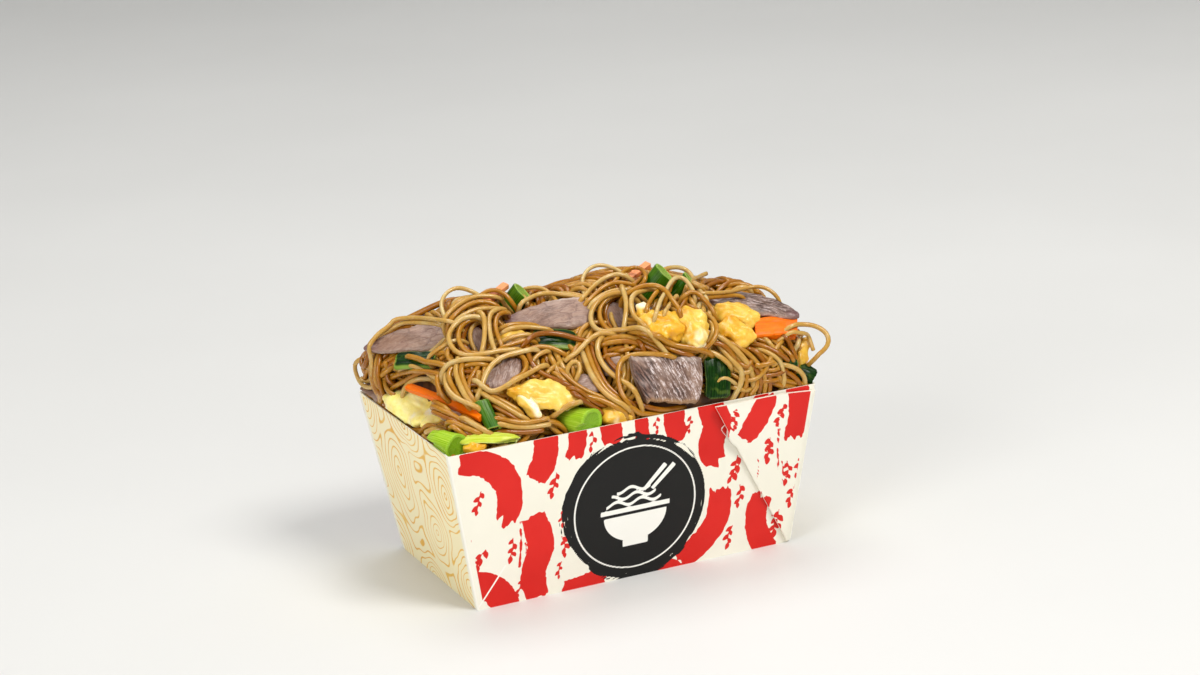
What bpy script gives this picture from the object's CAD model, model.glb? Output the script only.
import math

import bpy
import numpy as np
from mathutils import Matrix, Vector


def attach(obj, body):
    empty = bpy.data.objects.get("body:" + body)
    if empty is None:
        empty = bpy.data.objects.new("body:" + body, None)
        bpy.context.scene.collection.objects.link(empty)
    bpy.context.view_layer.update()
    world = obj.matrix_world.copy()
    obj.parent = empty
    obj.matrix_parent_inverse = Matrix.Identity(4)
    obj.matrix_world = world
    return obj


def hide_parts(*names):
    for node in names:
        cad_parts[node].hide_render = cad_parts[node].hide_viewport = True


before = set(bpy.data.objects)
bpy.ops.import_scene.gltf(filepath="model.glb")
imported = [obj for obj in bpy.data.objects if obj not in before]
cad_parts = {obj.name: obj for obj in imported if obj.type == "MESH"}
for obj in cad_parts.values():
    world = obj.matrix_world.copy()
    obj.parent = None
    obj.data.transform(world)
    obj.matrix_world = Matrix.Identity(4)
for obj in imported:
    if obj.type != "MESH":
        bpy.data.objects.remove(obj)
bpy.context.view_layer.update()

MM = 0.001

# ------------------------------------------------------------------ sizes, mm
TOP_L, TOP_W = 150.0, 93.0
BASE_L, BASE_W = 130.0, 77.0
HIGH = 64.0
BOARD, FOLD_R = 0.5, 0.8
FLAP_T, FLAP_REACH, FLAP_LIFT = 1.0, 43.8, 1.3
SLOPE = math.hypot((TOP_W - BASE_W) / 2, HIGH)
LEAN = (TOP_W - BASE_W) / 2 / SLOPE
RISE = HIGH / SLOPE


# ------------------------------------------------------------------ helpers
def sm(t):
    t = np.clip(t, 0, 1)
    return t * t * (3 - 2 * t)


def unit(v):
    v = np.asarray(v, float)
    return v / np.maximum(np.linalg.norm(v, axis=-1, keepdims=True), 1e-9)


def lattice(i, j, k, seed):
    n = (i * 374761393 + j * 668265263 + k * 2147483629 + seed * 1442695041) & 0xFFFFFFFF
    n = ((n ^ (n >> 13)) * 1274126177) & 0xFFFFFFFF
    n = ((n ^ (n >> 15)) * 2246822519) & 0xFFFFFFFF
    return ((n ^ (n >> 16)) & 0xFFFF) / 32767.5 - 1.0


def noise2(x, y, seed=0):
    """smooth value noise, -1 to 1"""
    x, y = np.broadcast_arrays(np.asarray(x, float), np.asarray(y, float))
    xi, yi = np.floor(x).astype(np.int64), np.floor(y).astype(np.int64)
    u, v = sm(x - xi), sm(y - yi)
    z = np.zeros_like(xi)
    a, b = lattice(xi, yi, z, seed), lattice(xi + 1, yi, z, seed)
    c, d = lattice(xi, yi + 1, z, seed), lattice(xi + 1, yi + 1, z, seed)
    return (a + (b - a) * u) * (1 - v) + (c + (d - c) * u) * v


def noise3(p, seed=0):
    p = np.asarray(p, float)
    q = np.floor(p).astype(np.int64)
    f = sm(p - q)
    out = 0
    for dx in (0, 1):
        for dy in (0, 1):
            for dz in (0, 1):
                w = ((f[..., 0] if dx else 1 - f[..., 0]) * (f[..., 1] if dy else 1 - f[..., 1])
                     * (f[..., 2] if dz else 1 - f[..., 2]))
                out = out + w * lattice(q[..., 0] + dx, q[..., 1] + dy, q[..., 2] + dz, seed)
    return out


def fractal3(p, octaves=3, seed=0):
    total, amp, norm = 0, 1.0, 0
    p = np.asarray(p, float)
    for o in range(octaves):
        total = total + amp * noise3(p * 2.03 ** o, seed + 17 * o)
        norm += amp
        amp *= 0.5
    return total / norm


def curve_table(table, x):
    """smooth curve through a table of (x, y), without overshoot"""
    t = np.array(table, float)
    X, Y = t[:, 0], t[:, 1]
    d = np.diff(Y) / np.diff(X)
    m = np.zeros(len(X))
    for i in range(1, len(X) - 1):
        if d[i - 1] * d[i] > 0:
            m[i] = 2 * d[i - 1] * d[i] / (d[i - 1] + d[i])
    m[0], m[-1] = d[0], d[-1]
    x = np.clip(np.asarray(x, float), X[0], X[-1])
    k = np.clip(np.searchsorted(X, x, side="right") - 1, 0, len(X) - 2)
    h = X[k + 1] - X[k]
    s = (x - X[k]) / h
    return (Y[k] * (1 + 2 * s) * (1 - s) ** 2 + m[k] * h * s * (1 - s) ** 2
            + Y[k + 1] * s * s * (3 - 2 * s) + m[k + 1] * h * s * s * (s - 1))


def spline(points, step):
    """points on a smooth curve through the given ones, evenly step apart"""
    p = np.asarray(points, float)
    if len(p) == 2:
        p = np.array([p[0], (p[0] + p[1]) / 2, p[1]])
    q = np.vstack([2 * p[0] - p[1], p, 2 * p[-1] - p[-2]])
    t = np.linspace(0, 1, 24, endpoint=False)[:, None]
    out = []
    for i in range(1, len(q) - 2):
        a, b, c, d = q[i - 1], q[i], q[i + 1], q[i + 2]
        out.append(0.5 * (2 * b + (c - a) * t + (2 * a - 5 * b + 4 * c - d) * t ** 2
                          + (3 * b - a - 3 * c + d) * t ** 3))
    out.append(p[-1:])
    out = np.vstack(out)
    s = np.r_[0, np.cumsum(np.linalg.norm(np.diff(out, axis=0), axis=1))]
    n = max(3, int(round(s[-1] / step)) + 1)
    at = np.linspace(0, s[-1], n)
    return np.stack([np.interp(at, s, out[:, k]) for k in range(out.shape[1])], 1)


def make_mesh(name, co, quads=None, tris=None, ngons=(), attrs=None, smooth=True, material_index=None, uv=None):
    """an object from arrays; co in mm"""
    me = bpy.data.meshes.new(name)
    loops, sizes = [], []
    if quads is not None and len(quads):
        loops.append(np.asarray(quads).ravel())
        sizes.append(np.full(len(quads), 4))
    if tris is not None and len(tris):
        loops.append(np.asarray(tris).ravel())
        sizes.append(np.full(len(tris), 3))
    for g in ngons:
        loops.append(np.asarray(g).ravel())
        sizes.append(np.array([len(g)]))
    loops, sizes = np.concatenate(loops).astype(np.int32), np.concatenate(sizes).astype(np.int32)
    me.vertices.add(len(co))
    me.vertices.foreach_set("co", (np.asarray(co, float) * MM).astype(np.float32).ravel())
    me.loops.add(len(loops))
    me.loops.foreach_set("vertex_index", loops)
    me.polygons.add(len(sizes))
    me.polygons.foreach_set("loop_start", np.r_[0, np.cumsum(sizes)[:-1]].astype(np.int32))
    if material_index is not None:
        me.polygons.foreach_set("material_index", np.asarray(material_index, np.int32))
    me.update(calc_edges=True)
    me.polygons.foreach_set("use_smooth", np.full(len(sizes), bool(smooth)) if isinstance(smooth, bool)
                            else np.asarray(smooth, bool))
    for key, value in (attrs or {}).items():
        value = np.asarray(value, np.float32)
        if key.startswith("v_"):
            a = me.attributes.new(key, "FLOAT_VECTOR", "POINT")
            a.data.foreach_set("vector", value.ravel())
        elif value.ndim == 2:
            a = me.attributes.new(key, "FLOAT_COLOR", "POINT")
            a.data.foreach_set("color", np.c_[value, np.ones(len(value), np.float32)].astype(np.float32).ravel()
                               if value.shape[1] == 3 else value.ravel())
        else:
            a = me.attributes.new(key, "FLOAT", "POINT")
            a.data.foreach_set("value", value)
    if uv is not None:
        layer = me.uv_layers.new(name="OFBake")
        layer.data.foreach_set("uv", np.asarray(uv, np.float32).ravel())
    ob = bpy.data.objects.new(name, me)
    bpy.context.scene.collection.objects.link(ob)
    return ob


def finish_piece(ob, nodes=(), body="root"):
    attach(ob, body)
    if nodes:
        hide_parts(*nodes)
    return ob


# ------------------------------------------------------------------ materials
class Mat:
    """a node material, written as short calls"""

    def __init__(self, name):
        self.m = bpy.data.materials.new(name)
        self.m.use_nodes = True
        self.t = self.m.node_tree
        self.b = self.t.nodes["Principled BSDF"]

    def node(self, kind, **fields):
        n = self.t.nodes.new(kind)
        for k, v in fields.items():
            setattr(n, k, v)
        return n

    def link(self, a, b):
        self.t.links.new(a, b)

    def put(self, socket, value):
        """a number, a colour or another node's output into a socket"""
        if isinstance(value, bpy.types.NodeSocket):
            self.link(value, socket)
        elif isinstance(value, (tuple, list)) and len(value) == 3 and socket.type == "RGBA":
            socket.default_value = (*value, 1.0)
        else:
            socket.default_value = value

    def attr(self, name, colour=False):
        n = self.node("ShaderNodeAttribute", attribute_name=name)
        return n.outputs["Color" if colour else "Fac"]

    def coord(self):
        return self.node("ShaderNodeTexCoord").outputs["Object"]

    def scaled(self, vector, scale):
        n = self.node("ShaderNodeVectorMath", operation="MULTIPLY")
        self.put(n.inputs[0], vector)
        n.inputs[1].default_value = scale
        return n.outputs[0]

    def noise(self, vector, scale, detail=2.0, rough=0.5, distort=0.0):
        n = self.node("ShaderNodeTexNoise")
        self.put(n.inputs["Vector"], vector)
        n.inputs["Scale"].default_value = scale
        n.inputs["Detail"].default_value = detail
        n.inputs["Roughness"].default_value = rough
        n.inputs["Distortion"].default_value = distort
        return n.outputs["Fac"]

    def voronoi(self, vector, scale, feature="F1", randomness=1.0):
        n = self.node("ShaderNodeTexVoronoi", feature=feature)
        self.put(n.inputs["Vector"], vector)
        n.inputs["Scale"].default_value = scale
        n.inputs["Randomness"].default_value = randomness
        return n.outputs["Distance"]

    def math(self, op, a, b=0.0, c=None, clamp=False):
        n = self.node("ShaderNodeMath", operation=op, use_clamp=clamp)
        self.put(n.inputs[0], a)
        self.put(n.inputs[1], b)
        if c is not None:
            self.put(n.inputs[2], c)
        return n.outputs[0]

    def range(self, v, lo, hi, a=0.0, b=1.0, smooth=False):
        n = self.node("ShaderNodeMapRange")
        if smooth:
            n.interpolation_type = "SMOOTHSTEP"
        self.put(n.inputs["Value"], v)
        for k, x in (("From Min", lo), ("From Max", hi), ("To Min", a), ("To Max", b)):
            n.inputs[k].default_value = x
        return n.outputs["Result"]

    def mix(self, f, a, b, mode="MIX"):
        n = self.node("ShaderNodeMix", data_type="RGBA", blend_type=mode)
        self.put(n.inputs[0], f)
        self.put(n.inputs[6], a)
        self.put(n.inputs[7], b)
        return n.outputs[2]

    def ramp(self, f, stops):
        n = self.node("ShaderNodeValToRGB")
        self.put(n.inputs[0], f)
        e = n.color_ramp.elements
        while len(e) < len(stops):
            e.new(0.5)
        for el, (pos, col) in zip(e, stops):
            el.position = pos
            el.color = (*col, 1.0)
        return n.outputs[0]

    def bump(self, height, strength, distance, normal=None):
        n = self.node("ShaderNodeBump")
        n.inputs["Strength"].default_value = strength
        n.inputs["Distance"].default_value = distance
        self.put(n.inputs["Height"], height)
        if normal is not None:
            self.put(n.inputs["Normal"], normal)
        return n.outputs[0]

    def set(self, **values):
        names = {"color": "Base Color", "rough": "Roughness", "metal": "Metallic", "normal": "Normal",
                 "ior": "IOR", "spec": "Specular IOR Level", "coat": "Coat Weight", "coat_rough": "Coat Roughness",
                 "sss": "Subsurface Weight", "sss_scale": "Subsurface Scale", "sss_radius": "Subsurface Radius",
                 "sheen": "Sheen Weight", "transmission": "Transmission Weight", "alpha": "Alpha"}
        for k, v in values.items():
            self.put(self.b.inputs[names[k]], v)
        return self


def rgb(r, g, b):
    """sRGB 0-255 to linear"""
    f = lambda c: c / 12.92 if c <= 0.04045 else ((c + 0.055) / 1.055) ** 2.4
    return (f(r / 255), f(g / 255), f(b / 255))


# ------------------------------------------------------------------ camera, floor, light
camera = bpy.data.objects.new("camera", bpy.data.cameras.new("camera"))
bpy.context.scene.collection.objects.link(camera)
bpy.context.scene.camera = camera
camera.data.sensor_width = 36.0
camera.data.lens = 87.52
camera.data.clip_start = 0.05
camera.data.clip_end = 60.0
EYE = np.array([-419.223, -975.638, 402.559])
RIGHT = np.array([0.9074998, -0.4160206, -0.0580601])
UP = np.array([0.1706458, 0.2388307, 0.9559497])
BACK = np.array([-0.3838282, -0.8774319, 0.2877309])
camera.matrix_world = Matrix([
    (*[float(v) for v in (RIGHT[i], UP[i], BACK[i], EYE[i] * MM)],) for i in range(3)] + [(0, 0, 0, 1)])
FOCAL = 2917.28


def ray(px, py):
    """direction from the eye through a point of the 1200 x 675 frame"""
    d = RIGHT * ((px - 600) / FOCAL) - UP * ((py - 337.5) / FOCAL) - BACK
    return d / np.linalg.norm(d)


def make_floor():
    prof = [(0, 0), (2.6, 0)]
    for k in range(1, 17):
        a = math.pi / 2 * k / 16
        prof.append((2.6 + 2.4 * math.sin(a), 2.4 - 2.4 * math.cos(a)))
    prof.append((5.0, 4.4))
    n = 96
    co, quads = [], []
    for r, z in prof:
        for i in range(n):
            a = 2 * math.pi * i / n
            co.append((r * math.cos(a) * 1000, r * math.sin(a) * 1000, z * 1000 - 0.02))
    for j in range(1, len(prof) - 1):
        for i in range(n):
            k = (i + 1) % n
            quads.append((j * n + i, (j + 1) * n + i, (j + 1) * n + k, j * n + k))
    ob = make_mesh("studio_floor", np.array(co), np.array(quads), ngons=[list(range(n, 2 * n))], smooth=True)
    m = Mat("pale_floor")
    g = m.noise(m.coord(), 3.0, 3.0)
    m.set(color=m.ramp(g, [(0.3, rgb(214, 214, 212)), (0.7, rgb(219, 219, 217))]), rough=0.55, spec=0.3)
    ob.data.materials.append(m.m)
    return ob


def area(name, at, aim, size, watts, colour=(1, 1, 1)):
    light = bpy.data.lights.new(name, "AREA")
    light.shape = "RECTANGLE"
    light.size, light.size_y = size
    light.energy = watts
    light.color = colour
    ob = bpy.data.objects.new(name, light)
    ob.location = at
    ob.rotation_euler = (Vector(aim) - Vector(at)).to_track_quat("-Z", "Y").to_euler()
    bpy.context.scene.collection.objects.link(ob)
    return ob


make_floor()
world = bpy.data.worlds.new("studio")
bpy.context.scene.world = world
world.use_nodes = True
world.node_tree.nodes["Background"].inputs[0].default_value = (1.0, 1.0, 1.0, 1.0)
world.node_tree.nodes["Background"].inputs[1].default_value = 0.50
area("key", (0.45, -1.05, 1.45), (0, 0, 0.07), (0.6, 0.6), 22.0, (1.0, 0.975, 0.94))
area("fill", (-1.5, -0.85, 0.8), (0, 0, 0.05), (0.9, 0.9), 15.0, (1.0, 0.985, 0.96))
area("top", (0.1, 0.5, 1.5), (0, 0, 0.05), (0.9, 0.7), 9.0)
bpy.context.scene.view_settings.view_transform = "Standard"
bpy.context.scene.view_settings.look = "None"


# ------------------------------------------------------------------ the printed tray
# The print is generic: broad red brush sweeps, bamboo-leaf dabs, ragged upright lines, and a
# brush-edged black disc with a white ring and a bowl; gold contour lines on the short sides.
# Each is a signed distance in mm (negative inside) held on the fine grid of the panels.
def to_path(u, v, path):
    """nearest distance along and signed distance across a polyline, and its length"""
    seg = path[1:] - path[:-1]
    ln = np.linalg.norm(seg, axis=1)
    acc = np.r_[0, np.cumsum(ln)]
    best = np.full(u.shape, 1e9)
    along = np.zeros_like(u)
    across = np.zeros_like(u)
    for k in range(len(seg)):
        d = seg[k] / max(ln[k], 1e-9)
        x, y = u - path[k, 0], v - path[k, 1]
        t = x * d[0] + y * d[1]
        lo = -30.0 if k == 0 else 0.0
        hi = ln[k] + 30.0 if k == len(seg) - 1 else ln[k]
        tc = np.clip(t, lo, hi)
        ex, ey = x - tc * d[0], y - tc * d[1]
        r = np.hypot(ex, ey)
        near = r < best
        best = np.where(near, r, best)
        along = np.where(near, acc[k] + tc, along)
        across = np.where(near, np.where(d[0] * y - d[1] * x >= 0, r, -r), across)
    return along, across, acc[-1]


def brush(u, v, points, half, seed, start=0.25, dry=0.55, rough=0.35, nose=0.25):
    """a brush sweep: half its width, blunt start, and dry streaks over its last part"""
    lo, hi = np.min(points, 0) - half - 6, np.max(points, 0) + half + 6
    out = np.full(u.shape, 30.0)
    inside = (u > lo[0]) & (u < hi[0]) & (v > lo[1]) & (v < hi[1])
    if not inside.any():
        return out
    uu, vv = u[inside], v[inside]
    s, t, length = to_path(uu, vv, spline(points, 1.5))
    q = s / length
    w = half * (1 - start * sm((nose - q) / nose) ** 2 * 0.5 - 0.20 * sm((q - 0.7) / 0.3))
    w = w * (1 + 0.10 * noise2(s / 9.0, np.sign(t) * 3.0 + seed, seed))
    edge = rough * noise2(s / 1.6, np.sign(t) * 5.0 + 0.5, seed + 3) + 0.5 * rough * noise2(s / 0.8, t * 0.3, seed + 5)
    d = np.abs(t) - w + edge
    end = noise2(t / 1.3, np.full_like(t, 0.5), seed + 7) * (1.2 + 5.5 * dry)
    first = noise2(t / 1.2, np.full_like(t, 7.5), seed + 8) * 1.1
    d = np.maximum(d, s - length - end + 2.0)
    d = np.maximum(d, -s - first)
    if dry > 0:
        k = sm((q - (1 - dry)) / dry)
        streak = noise2(t / 0.95 + 0.25 * noise2(s / 6.0, t, seed), s / 16.0, seed + 9)
        d = np.maximum(d, (streak + 1.25 * k - 1.35) * 2.4)
    out[inside] = d
    return out


def dab(u, v, at, angle, length, half, seed):
    """one plump leaf with pointed ends"""
    c, s = math.cos(math.radians(angle)), math.sin(math.radians(angle))
    x, y = (u - at[0]) * c + (v - at[1]) * s, -(u - at[0]) * s + (v - at[1]) * c
    q = x / length
    w = half * np.clip(np.sin(np.pi * np.clip(q, 0, 1) ** 0.8), 0, 1) ** 0.8
    d = np.abs(y - 0.05 * length * np.sin(np.pi * q)) - w + 0.06 * noise2(x / 0.9, y / 0.9, seed)
    return np.maximum(d, np.maximum(-x, x - length))


SWEEPS = [  # points, half width, seed, dry share
    ([(-70.5, 61.5), (-60, 58.5), (-53, 51), (-51.5, 41), (-54, 31.5)], 5.2, 1, 0.25),
    ([(-37, 67), (-37.5, 56), (-42, 46.5)], 4.9, 2, 0.2), ([(-24.5, 67), (-24, 59), (-27, 52)], 3.7, 3, 0.25),
    ([(-11, 68), (-9.5, 55)], 4.4, 4, 0.0), ([(1.5, 68), (2.5, 52)], 3.1, 5, 0.0),
    ([(15.5, 67), (15.5, 58), (19.5, 51)], 4.6, 6, 0.15), ([(28.5, 67), (32, 57), (30.5, 47), (34, 38)], 5.4, 7, 0.2),
    ([(43.5, 48.5), (49.5, 56.5), (55, 67)], 4.4, 8, 0.15), ([(66.5, 67), (67.5, 56), (64, 43)], 4.8, 9, 0.22),
    ([(-72, 10.5), (-62, 10), (-54, 1.5), (-51, -5)], 5.2, 10, 0.1), ([(-42, 34), (-39, 22), (-42.5, 10), (-40.5, -2)], 5.4, 11, 0.0),
    ([(-31, 1), (-22, 0.6), (-12, 4.5)], 4.2, 13, 0.1), ([(18, 2), (27.5, 8.5), (34, 19), (34.5, 31.5)], 5.3, 14, 0.2),
    ([(56.5, -4), (51.5, 6), (50.5, 15), (53.5, 25)], 4.7, 15, 0.2), ([(-2, -2.5), (9, 1.2), (19, -3)], 3.6, 16, 0.0),
]
TWIGS = [  # foot of a twig of slender leaves: u, v, angle, leaves, length
    (-62.5, 48.5, 255, 5, 8.0), (-68.5, 32.5, 262, 5, 7.5), (-61, 24.5, 240, 6, 9.0), (-50.5, 27, 262, 5, 8.0),
    (-32.5, 50, 255, 5, 8.5), (-29.5, 34.5, 262, 4, 6.0), (-31, 23.5, 275, 5, 7.5), (-31, 13, 258, 4, 6.0),
    (-63, 2.8, 200, 3, 4.5), (-18.2, 63.5, 262, 4, 6.5), (8.6, 64, 268, 4, 5.5), (22.2, 62, 262, 4, 6.0),
    (42, 41.5, 250, 6, 9.5), (40.8, 62.5, 262, 5, 7.5), (60.5, 60.5, 250, 5, 8.5), (55, 47.5, 262, 6, 9.0),
    (70.5, 38, 250, 6, 9.0), (62.5, 35.5, 265, 5, 8.0), (66.5, 25, 252, 5, 8.0), (59.5, 15.5, 262, 6, 9.5),
    (43, 29, 262, 5, 8.0), (40.5, 12.5, 255, 5, 8.0), (58, 4.5, 200, 4, 5.5), (-47.5, 9, 255, 4, 6.0),
]
LINES = [  # ragged upright lines: points, half width
    ([(-69.6, 40), (-68.6, 32), (-68.9, 24)], 0.6), ([(-67.8, 22), (-66.6, 17), (-66.9, 14)], 0.45),
    ([(-47.5, 33), (-47.2, 25), (-48.0, 14)], 0.5), ([(73.0, 62), (72.2, 53), (71.2, 41)], 0.6),
    ([(58.6, 50), (58.2, 42), (58.8, 32)], 0.45), ([(60.3, 36), (60.9, 31), (60.4, 26)], 0.4),
    ([(-45.6, 24), (-45.2, 19), (-45.8, 15)], 0.4), ([(49.8, 40), (50.2, 35), (49.7, 30)], 0.42),
]
BADGE = (-0.83, 28.9)


def red_print(u, v):
    d = np.full(u.shape, 30.0)
    for points, half, seed, dry in SWEEPS:
        d = np.minimum(d, brush(u, v, np.array(points, float), half, seed, dry=dry))
    for n, (a, b, angle, count, reach) in enumerate(TWIGS):
        c, s = math.cos(math.radians(angle)), math.sin(math.radians(angle))
        bow = 1.1 * math.sin(2.3 * n)
        stem = np.array([(a, b), (a + 0.5 * reach * c - bow * s, b + 0.5 * reach * s + bow * c), (a + reach * c, b + reach * s)])
        near = (np.hypot(u - a - 0.5 * reach * c, v - b - 0.5 * reach * s) < reach + 3)
        if not near.any():
            continue
        x, y = u[near], v[near]
        best = np.full(x.shape, 30.0)
        g, t, length = to_path(x, y, spline(stem, 1.0))
        best = np.maximum(np.abs(t) - 0.22 - 0.05 * noise2(g / 1.1, t, 60 + n), np.maximum(-g, g - length))
        for k in range(count):
            q = 0.10 + 0.85 * k / max(count - 1, 1)
            side = -1 if (k + n) % 2 else 1
            turn = angle + side * (38 + 8 * math.sin(1.9 * k + n)) * (0.15 if k == count - 1 else 1.0)
            size = reach * (0.36 + 0.05 * math.sin(2.7 * k + 1.3 * n))
            px, py = a + q * reach * c - bow * s * 4 * q * (1 - q), b + q * reach * s + bow * c * 4 * q * (1 - q)
            best = np.minimum(best, dab(x, y, (px, py), turn, size, 0.30 * size, 40 + 5 * n + k))
        d[near] = np.minimum(d[near], best)
    for n, (points, half) in enumerate(LINES):
        s, t, length = to_path(u, v, spline(points, 2.0))
        w = half * (0.75 + 0.5 * noise2(s / 2.2, np.full_like(s, 2.5 * n), 90 + n))
        e = np.maximum(np.abs(t) - w + 0.18 * noise2(s / 0.9, t, 95 + n), np.maximum(-s, s - length))
        d = np.minimum(d, e)
    return d


def black_print(u, v):
    x, y = u - BADGE[0], v - BADGE[1]
    r, a = np.hypot(x, y), np.arctan2(y, x)
    turn = a + 0.35 * noise2(r / 5.0, a * 2, 31)
    edge = 27.6 + 0.9 * noise2(a * 5.2, np.full_like(a, 0.5), 32) + 0.55 * noise2(a * 17, r / 3.0, 33)
    edge = edge + 1.5 * np.clip(np.cos(a - 2.4), 0, 1) ** 3 + 1.1 * np.clip(np.cos(a + 0.9), 0, 1) ** 6
    solid = r - edge
    streak = noise2(r / 0.62 + 0.8 * turn, turn * 3.1, 34)      # hairs of the brush running round the rim
    fringe = np.maximum(r - edge - 1.9 - 0.9 * noise2(turn * 4.0, r, 36), 0.5 - (streak + 0.55) * 1.0)
    cut = np.maximum(edge - 1.6 - r, 0.35 - (noise2(r / 0.7 + 0.6 * turn, turn * 2.4, 35) - 0.45) * 1.3)
    return np.minimum(np.maximum(solid, -cut), fringe)


def white_print(u, v):
    x, y = u - BADGE[0], v - BADGE[1]
    r = np.hypot(x, y)
    d = np.abs(r - 24.8) - 0.33
    # bowl
    lip = np.maximum(np.abs(x) - 14.2, np.abs(y + 0.4) - 0.95)
    body = np.maximum(np.hypot(x / 1.0, (y + 2.6) / 0.86) - 12.9, y + 2.6)
    foot = np.maximum(np.abs(x) - 5.2, np.abs(y + 14.3) - 1.3)
    d = np.minimum(d, np.minimum(lip, np.minimum(body, foot)))
    # waves of noodle over the lip
    for k, h in enumerate((2.6, 5.2, 7.8)):
        wave = h + 0.95 * np.sin(x * 0.62 + 1.3 * k)
        reach = 11.3 - 2.2 * k
        d = np.minimum(d, np.maximum(np.abs(y - wave) - 0.62, np.abs(x + 0.6) - reach))
    # two chopsticks
    for x0, x1 in ((-2.0, 12.6), (1.2, 16.2)):
        a, b = np.array([x0, 1.0]), np.array([x1, 17.4 - 0.16 * x1])
        e = (b - a) / np.linalg.norm(b - a)
        px, py = x - a[0], y - a[1]
        s = px * e[0] + py * e[1]
        t = np.abs(px * e[1] - py * e[0])
        stick = np.maximum(t - 0.55 - 0.02 * s, np.maximum(-s + 7.8, s - np.linalg.norm(b - a)))
        d = np.minimum(d, stick)
    return d


def contour_field(u, v, seed):
    """distance-like field whose level lines are the gold contours, in line spacings"""
    rng = np.random.default_rng(seed)
    x = u + 2.6 * noise2(u / 13, v / 13, seed) + 0.9 * noise2(u / 5.5, v / 5.5, seed + 1)
    y = v + 2.6 * noise2(u / 13, v / 13, seed + 2) + 0.9 * noise2(u / 5.5, v / 5.5, seed + 3)
    centres = [(-17, 37, 1.0, 1.35), (11, 25, 1.0, 1.2), (-36, 3, 1.1, 1.0), (33, 46, 1.1, 1.0), (2, 63, 1.3, 0.9),
               (38, 8, 1.0, 1.2), (-42, 61, 1.0, 1.0), (-6, -4, 1.2, 0.8)]
    total = 0
    for cx, cy, ex, ey in centres:
        cx, cy = cx + rng.uniform(-2, 2), cy + rng.uniform(-2, 2)
        total = total + np.exp(-np.hypot((x - cx) / ex, (y - cy) / ey) / 2.1)
    f = -2.1 * np.log(total)
    return f / (2.75 + 0.35 * noise2(u / 20, v / 20, seed + 5))


def cream_line(u, v):
    """the pressed crease of the web that is folded away at the left, and the slit of the lock"""
    d = np.full(u.shape, 30.0)
    for points, half in (([(-65.2, 0.3), (-59.9, 7.4), (-53.4, 16.3)], 0.28),):
        s, t, length = to_path(u, v, spline(points, 2.0))
        d = np.minimum(d, np.maximum(np.abs(t) - half, np.maximum(-s, s - length)))
    return d


def slit_line(u, v):
    d = np.full(u.shape, 30.0)
    for points, half in (([(36.6, 55.2), (35.0, 53.6), (36.4, 51.2), (38.6, 48.6)], 0.2),
                         ([(38.2, 50.6), (41.6, 48.6), (43.6, 46.6), (42.6, 44.4)], 0.22)):
        s, t, length = to_path(u, v, spline(points, 1.0))
        d = np.minimum(d, np.maximum(np.abs(t) - half, np.maximum(-s, s - length)))
    return d


def bulge(u, v, half):
    return 0.32 * np.cos(np.pi / 2 * np.clip(u / half, -1, 1)) * np.sin(np.pi * np.clip(v / SLOPE, 0, 1)) ** 0.8


def long_side(u, v, w):
    """front panel: u along X from its middle, v up its slope, w off its face"""
    return np.stack([u, -BASE_W / 2 - v * LEAN - w * RISE, v * RISE - w * LEAN], -1)


def corner_u(v):
    return (BASE_L + (TOP_L - BASE_L) * v / SLOPE) / 2


def fields(face, u, v):
    """the print's values on a face: red, black, white, contour, mark of a contour side, crease"""
    n = u.size
    far = np.full(n, 9.0)
    if face in ("front", "back"):
        red = np.clip(red_print(u, v), -9, 9)
        red = np.maximum(red, np.abs(u) - (corner_u(v) - 2.6))
        crease = np.minimum(cream_line(u, v), slit_line(u, v))
        return dict(red=red, black=np.clip(black_print(u, v), -9, 9), white=np.clip(white_print(u, v), -9, 9),
                    contour=np.zeros(n), banded=np.zeros(n), crease=np.clip(crease, -3, 3), edge=corner_u(v) - np.abs(u))
    half = (BASE_W + (TOP_W - BASE_W) * v / SLOPE) / 2
    band = sm((half - np.abs(u) - 2.0) / 1.2)
    return dict(red=far, black=far, white=far, contour=contour_field(u, v, 5 if face == "left" else 9),
                banded=band, crease=np.full(n, 3.0), edge=half - np.abs(u))


KEYS = ("red", "black", "white", "contour", "banded", "crease", "edge", "outside")


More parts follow.
